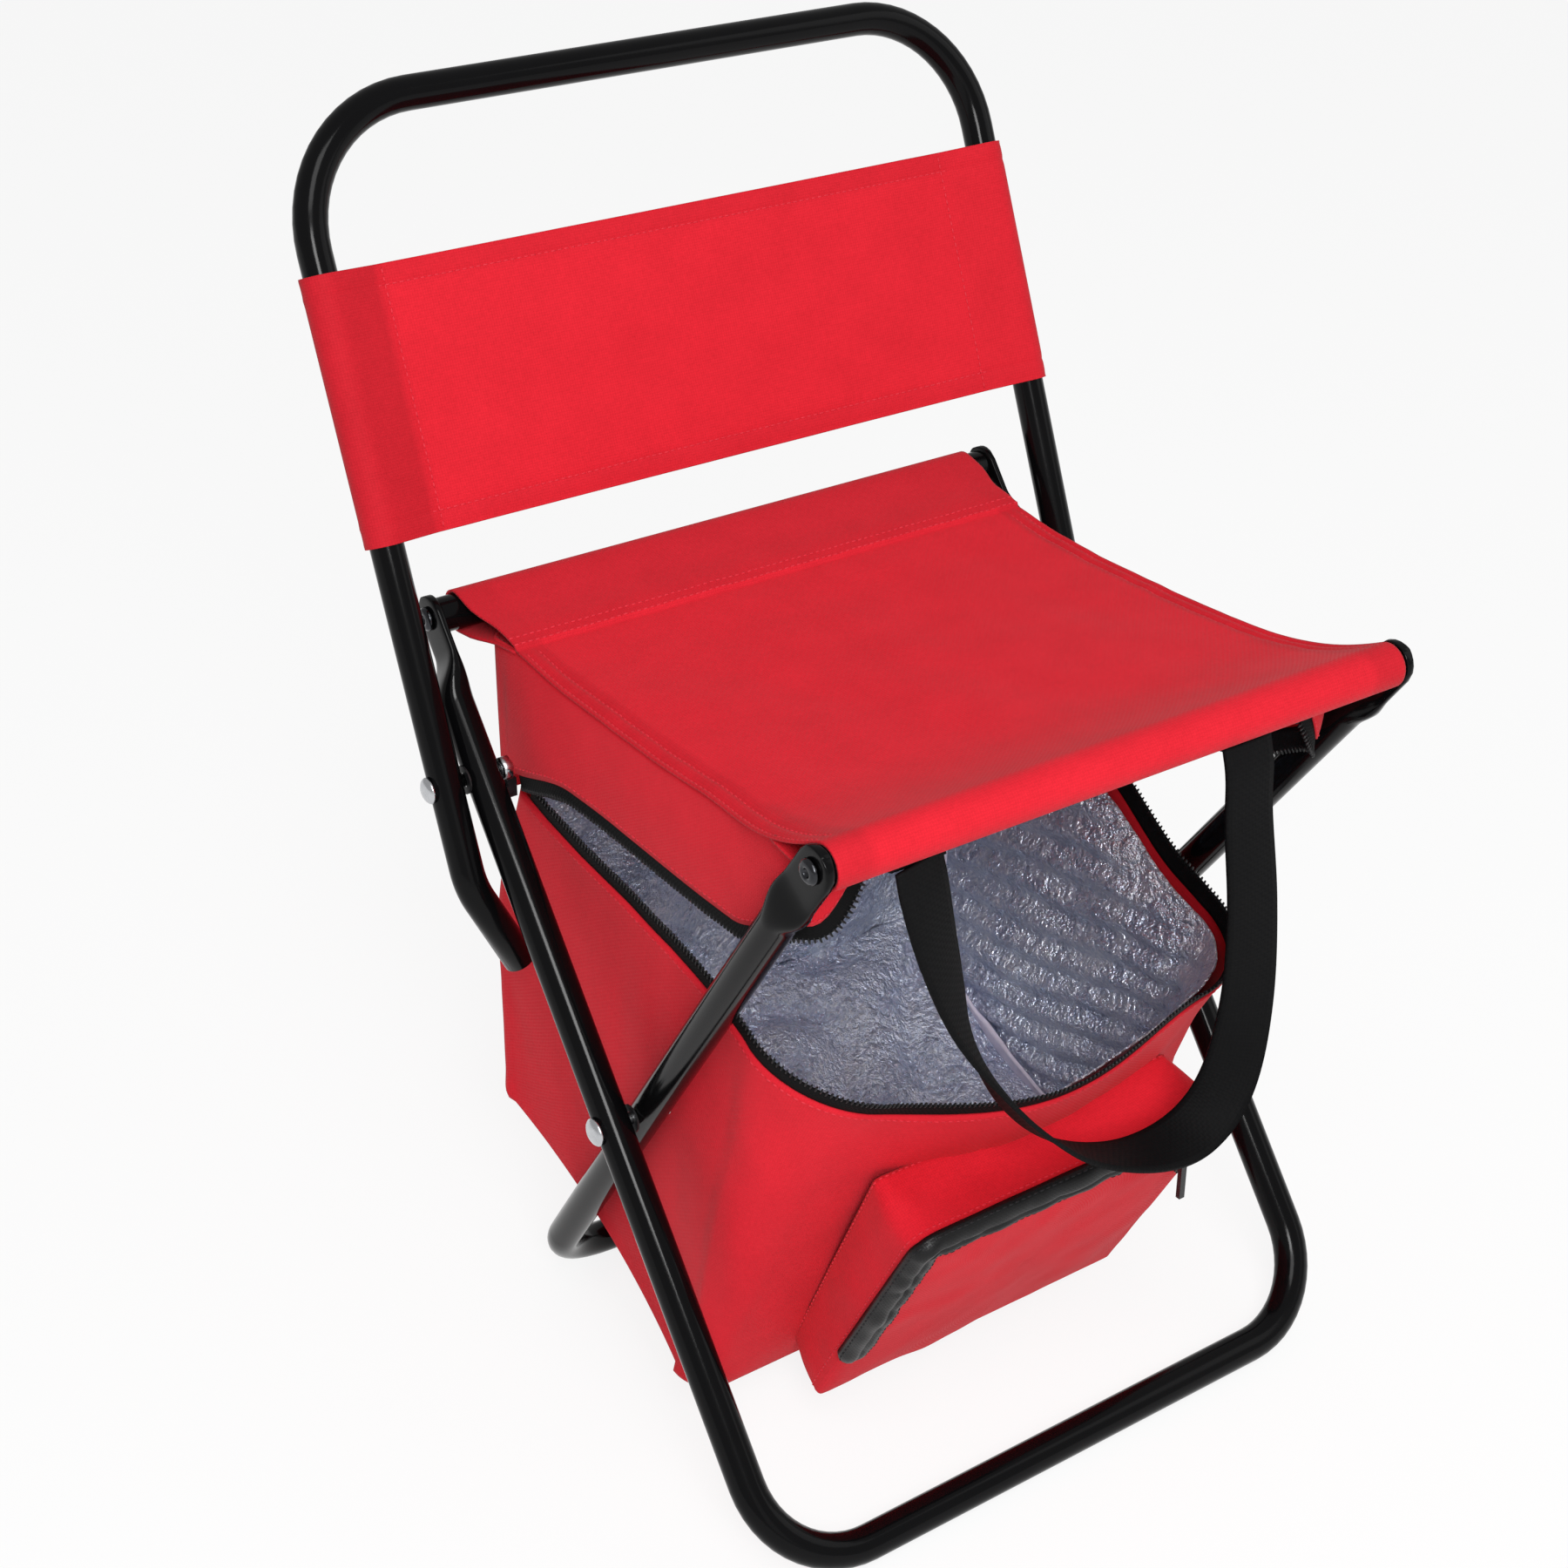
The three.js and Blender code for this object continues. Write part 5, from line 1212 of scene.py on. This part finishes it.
# front pocket: a soft box on the bag's sloping front, with a raised zip band round three sides of its face
pocket = {"half": 87.0, "low": 21.0, "high": 172.0, "depthLow": 30.0, "depthHigh": 40.0, "corner": 2.4,
          "faceCorner": 10.0, "pinch": 3.0, "wall": 1.4, "crown": 4.0, "topSag": 6.0, "rearDrop": 10.0,
          "rearTaper": 6.0, "faceRows": 22, "wallRows": 14, "rearGap": 0.3, "billow": 1.2,
          "rims": ((1.6, 0.1), (0.8, 0.5), (0.2, 1.3), (0.0, 2.4)), "rimSlack": (0.25, 0.1, 0.1, 0.2),
          "stitchLift": 0.72, "sewnRows": (26.8, 38.6), "waves": ((1.8, 42, 51), (0.9, 18, 52))}
pocketMid = (pocket["low"] + pocket["high"]) / 2
pocketTall = pocket["high"] - pocket["low"]
slopeLow = np.array([0.0, -47.65, 17.0])
slopeUp = np.array([0.0, -0.4203, 0.9074])
slopeOut = np.array([0.0, -0.9074, -0.4203])


def onSlope(x, up, out):
    x, up, out = (np.asarray(v, float)[..., None] for v in (x, up, out))
    return slopeLow + x * xAxis + up * slopeUp + out * slopeOut


def pocketDepth(up):
    return pocket["depthLow"] + (pocket["depthHigh"] - pocket["depthLow"]) * (up - pocket["low"]) / pocketTall


def faceOut(x, up):
    s = np.maximum(np.abs(x) / pocket["half"], np.abs(up - pocketMid) / (pocketTall / 2))
    return pocketDepth(up) + pocket["crown"] * (1 - np.clip(s, 0, 1) ** 2.5)


def pocketGrid():
    w, h, r = pocket["half"], pocketTall / 2, pocket["corner"]
    frontRound, gap = pocket["faceCorner"], pocket["rearGap"]
    outlines = []
    for radii in ([r, frontRound, frontRound, r], [r] * 4):
        shape = bentPath([(0, -h, 0), (w, -h, 0), (w, h, 0), (-w, h, 0), (-w, -h, 0), (0, -h, 0)], radii, 9)
        outlines.append(spread(shape, 261)[:-1])
    outline, rearOutline = outlines
    pinch = pocket["pinch"] * np.exp(-(np.hypot(np.abs(outline[:, 0]) - w, outline[:, 1] - h) / 6) ** 2)
    out2 = unit(np.cross(np.roll(outline, -1, 0) - np.roll(outline, 1, 0), [0, 0, 1.0]))
    rows = []
    for s in np.linspace(0.06, 0.96, pocket["faceRows"]):
        ring = outline * s
        up = ring[:, 1] + pocketMid
        rows.append(onSlope(ring[:, 0], up, faceOut(ring[:, 0], up)))
    for inset, sink in pocket["rims"]:
        ring = outline - out2 * inset
        up = ring[:, 1] + pocketMid
        rows.append(onSlope(ring[:, 0], up, pocketDepth(up) - sink))
    for k in np.linspace(0.88, 0, pocket["wallRows"]):
        bulge = math.sin(math.pi * k)
        sag = pocket["topSag"] * bulge * ramp(outline[:, 1], 60, 12) * (1 - (outline[:, 0] / w) ** 4)
        sag = sag + pocket["rearDrop"] * (1 - k) * ramp(outline[:, 1], 20, 55)
        swell = out2 * pocket["billow"] - unit(outline) * pinch[:, None]
        ring = outline * k + rearOutline * (1 - k) + swell * bulge
        ring[:, 1] -= sag
        ring[:, 0] *= 1 - pocket["rearTaper"] / w * (1 - k)
        up = outline[:, 1] + pocketMid
        rows.append(onSlope(ring[:, 0], ring[:, 1] + pocketMid, gap + (pocketDepth(up) - gap) * k))
    grid = np.array(rows)
    fall = np.r_[np.full(pocket["faceRows"], 0.9), pocket["rimSlack"],
                 np.sin(np.linspace(0.3, math.pi, pocket["wallRows"]))]
    out = gridNormals(grid, True) * sideOf(grid, 10, 5, slopeOut, True)
    return grid + (ripples(grid, pocket["waves"]) * fall[:, None])[..., None] * out


pocketCloth = pocketGrid()
pocketPiece = clothSheet("frontPocketCloth", [pocketCloth], pocket["wall"], redOxford, loop=True, capFirst=True)
hangBag(pocketPiece, "red_polyester", "front_pocket")
pocketLift = pocket["stitchLift"] * sideOf(pocketCloth, 10, 5, slopeOut, True)
pocketRows = [gridLine(pocketCloth, pocketLift, row=k, loop=True, count=420) for k in pocket["sewnRows"]]
pocketStitches = hangBag(stitches("pocketStitches", pocketRows, redThread, 25), "red_polyester")

# zip band on the face's border, turned over its edge; section is (in from the edge, above the face)
band = {"section": ((11.2, -0.6), (9.8, 0.3), (8.0, 1.0), (6.4, 0.9), (5.2, 0.0), (4.0, 0.7), (2.2, 1.0),
                    (0.4, 0.2), (-1.0, -1.2), (-1.7, -2.8), (-1.8, -4.8)),
        "thick": 1.2, "low": (58.0, 118.0), "turn": 9.0, "lift": 1.3, "crease": 0.9, "endRound": 9.0,
        "ruffles": ((1.5, 8, 53),), "folds": ((2, 16, 54),), "cornerFolds": ((1, 5, 55),), "sewn": (1.0, 8.6)}


def bandGrid():
    x, top = pocket["half"], pocket["high"]
    line = bentPath([(-x, band["low"][0], 0), (-x, top, 0), (x, top, 0), (x, band["low"][1], 0)],
                    [band["turn"]] * 2, 16)
    line = spread(line, 210)
    side = unit(np.cross(np.gradient(line, axis=0), [0, 0, 1.0]))
    inside = side if side[5] @ xAxis > 0 else -side
    reach = np.r_[0, np.cumsum(np.linalg.norm(np.diff(line, axis=0), axis=1))]
    end = np.minimum(reach, reach[-1] - reach) / band["endRound"]
    close = np.sqrt(np.clip(1 - (1 - np.clip(end, 0.03, 1)) ** 2, 0.02, 1))
    section = np.array(band["section"])
    centre = section[4]
    grid = np.zeros((len(line), len(section), 3))
    turn = ramp(np.abs(line[:, 0]), x - 14, 12) * ramp(line[:, 1], top - 14, 12)
    for j, (inset, rise) in enumerate(section):
        shrink = centre + (np.array([inset, rise]) - centre) * close[:, None]
        ruffle = ripples(line, band["ruffles"]) * max(0, (4 - j) / 4) ** 2
        flat = line + inside * (shrink[:, :1] * (1 - 0.2 * turn[:, None]) + ruffle[:, None])
        out = faceOut(np.clip(flat[:, 0], -x, x), np.minimum(flat[:, 1], top)) + shrink[:, 1]
        out = out + band["lift"] * close + 0.4 * ruffle
        grid[:, j] = onSlope(flat[:, 0], flat[:, 1], out)
    fold = ripples(grid, band["folds"], True) + turn[:, None] * ripples(grid, band["cornerFolds"])
    fold = band["crease"] * fold * (1 - (np.linspace(-1, 1, len(section)) ** 4))[None, :]
    return grid + (fold * sideOf(grid, 90, 3, slopeOut))[..., None] * gridNormals(grid)


bandCloth = bandGrid()
bandPiece = clothSheet("pocketZipBand", [bandCloth], band["thick"], zipFlap)
hangBag(bandPiece, "black_nylon", "pocket_zip_tape")
bandLift = stitch["lift"] * sideOf(bandCloth, 90, 3, slopeOut)
bandRows = [gridLine(bandCloth, bandLift, col=c, count=400) for c in band["sewn"]]
bandStitches = hangBag(stitches("bandStitches", bandRows, blackThread, 26), "black_nylon")
print("pocket made")

# shoulder strap: 25 mm webbing from a sewn tab under the front rail, down in a loop and up to the other tab
strap = {"wide": 25.0, "thick": 1.8, "cup": 0.7, "path": (
    (-103, -138.6, 352.6, 12), (-102, -141.6, 340, 12), (-97.5, -144.5, 316, 22), (-88, -146.5, 284, 42),
    (-73, -147, 250, 76), (-52, -148, 218, 94), (-24, -148, 191, 96), (12, -148, 174, 88), (42, -148, 174, 66),
    (60, -148, 193, 38), (68, -147, 230, 16), (67, -146, 275, 5), (63, -143, 318, 0), (62.3, -141.6, 340, 0),
    (62, -138.6, 352.6, 0))}


def strapGrid():
    line = curveThrough([(x, y + cross[1], z, twist) for x, y, z, twist in strap["path"]], 150)
    way = unit(np.gradient(line[:, :3], axis=0))
    ahead = np.array([0.0, 1.0, 0.0])
    flat = unit(np.cross(ahead, way))
    angle = np.radians(line[:, 3])[:, None]
    over = unit(flat * np.cos(angle) - ahead * np.sin(angle))
    s = np.linspace(-0.5, 0.5, 9)
    cup = unit(np.cross(over, way))[:, None, :] * (strap["cup"] * (0.25 - s ** 2) * 4)[None, :, None]
    return line[:, None, :3] + over[:, None, :] * (s * strap["wide"])[None, :, None] + cup


strapCloth = strapGrid()
strapPiece = clothSheet("shoulderStrap", [strapCloth], strap["thick"], webbing)
settle(strapPiece, "inner_frame", "black_webbing", "shoulder_strap")
tabs = {"wide": 25.4, "deep": 12.0, "thick": 1.5, "round": 10.6, "back": 2.5}
for name, x, node in (("strapTabLeft", -103.0, "strap_tab_left"), ("strapTabRight", 62.0, "strap_tab_right")):
    a, b = np.meshgrid(np.linspace(-0.5, 0.5, 9), np.linspace(-0.5, 0.5, 7))
    under = b * tabs["deep"] + tabs["back"]
    drop = np.sqrt(tabs["round"] ** 2 - under ** 2)
    sheet = np.stack([x + a * tabs["wide"], frontRail[1] + under, frontRail[2] - drop], axis=2)
    settle(clothSheet(name, [sheet], tabs["thick"], webbing), "inner_frame", "black_webbing", node)
print("strap made")
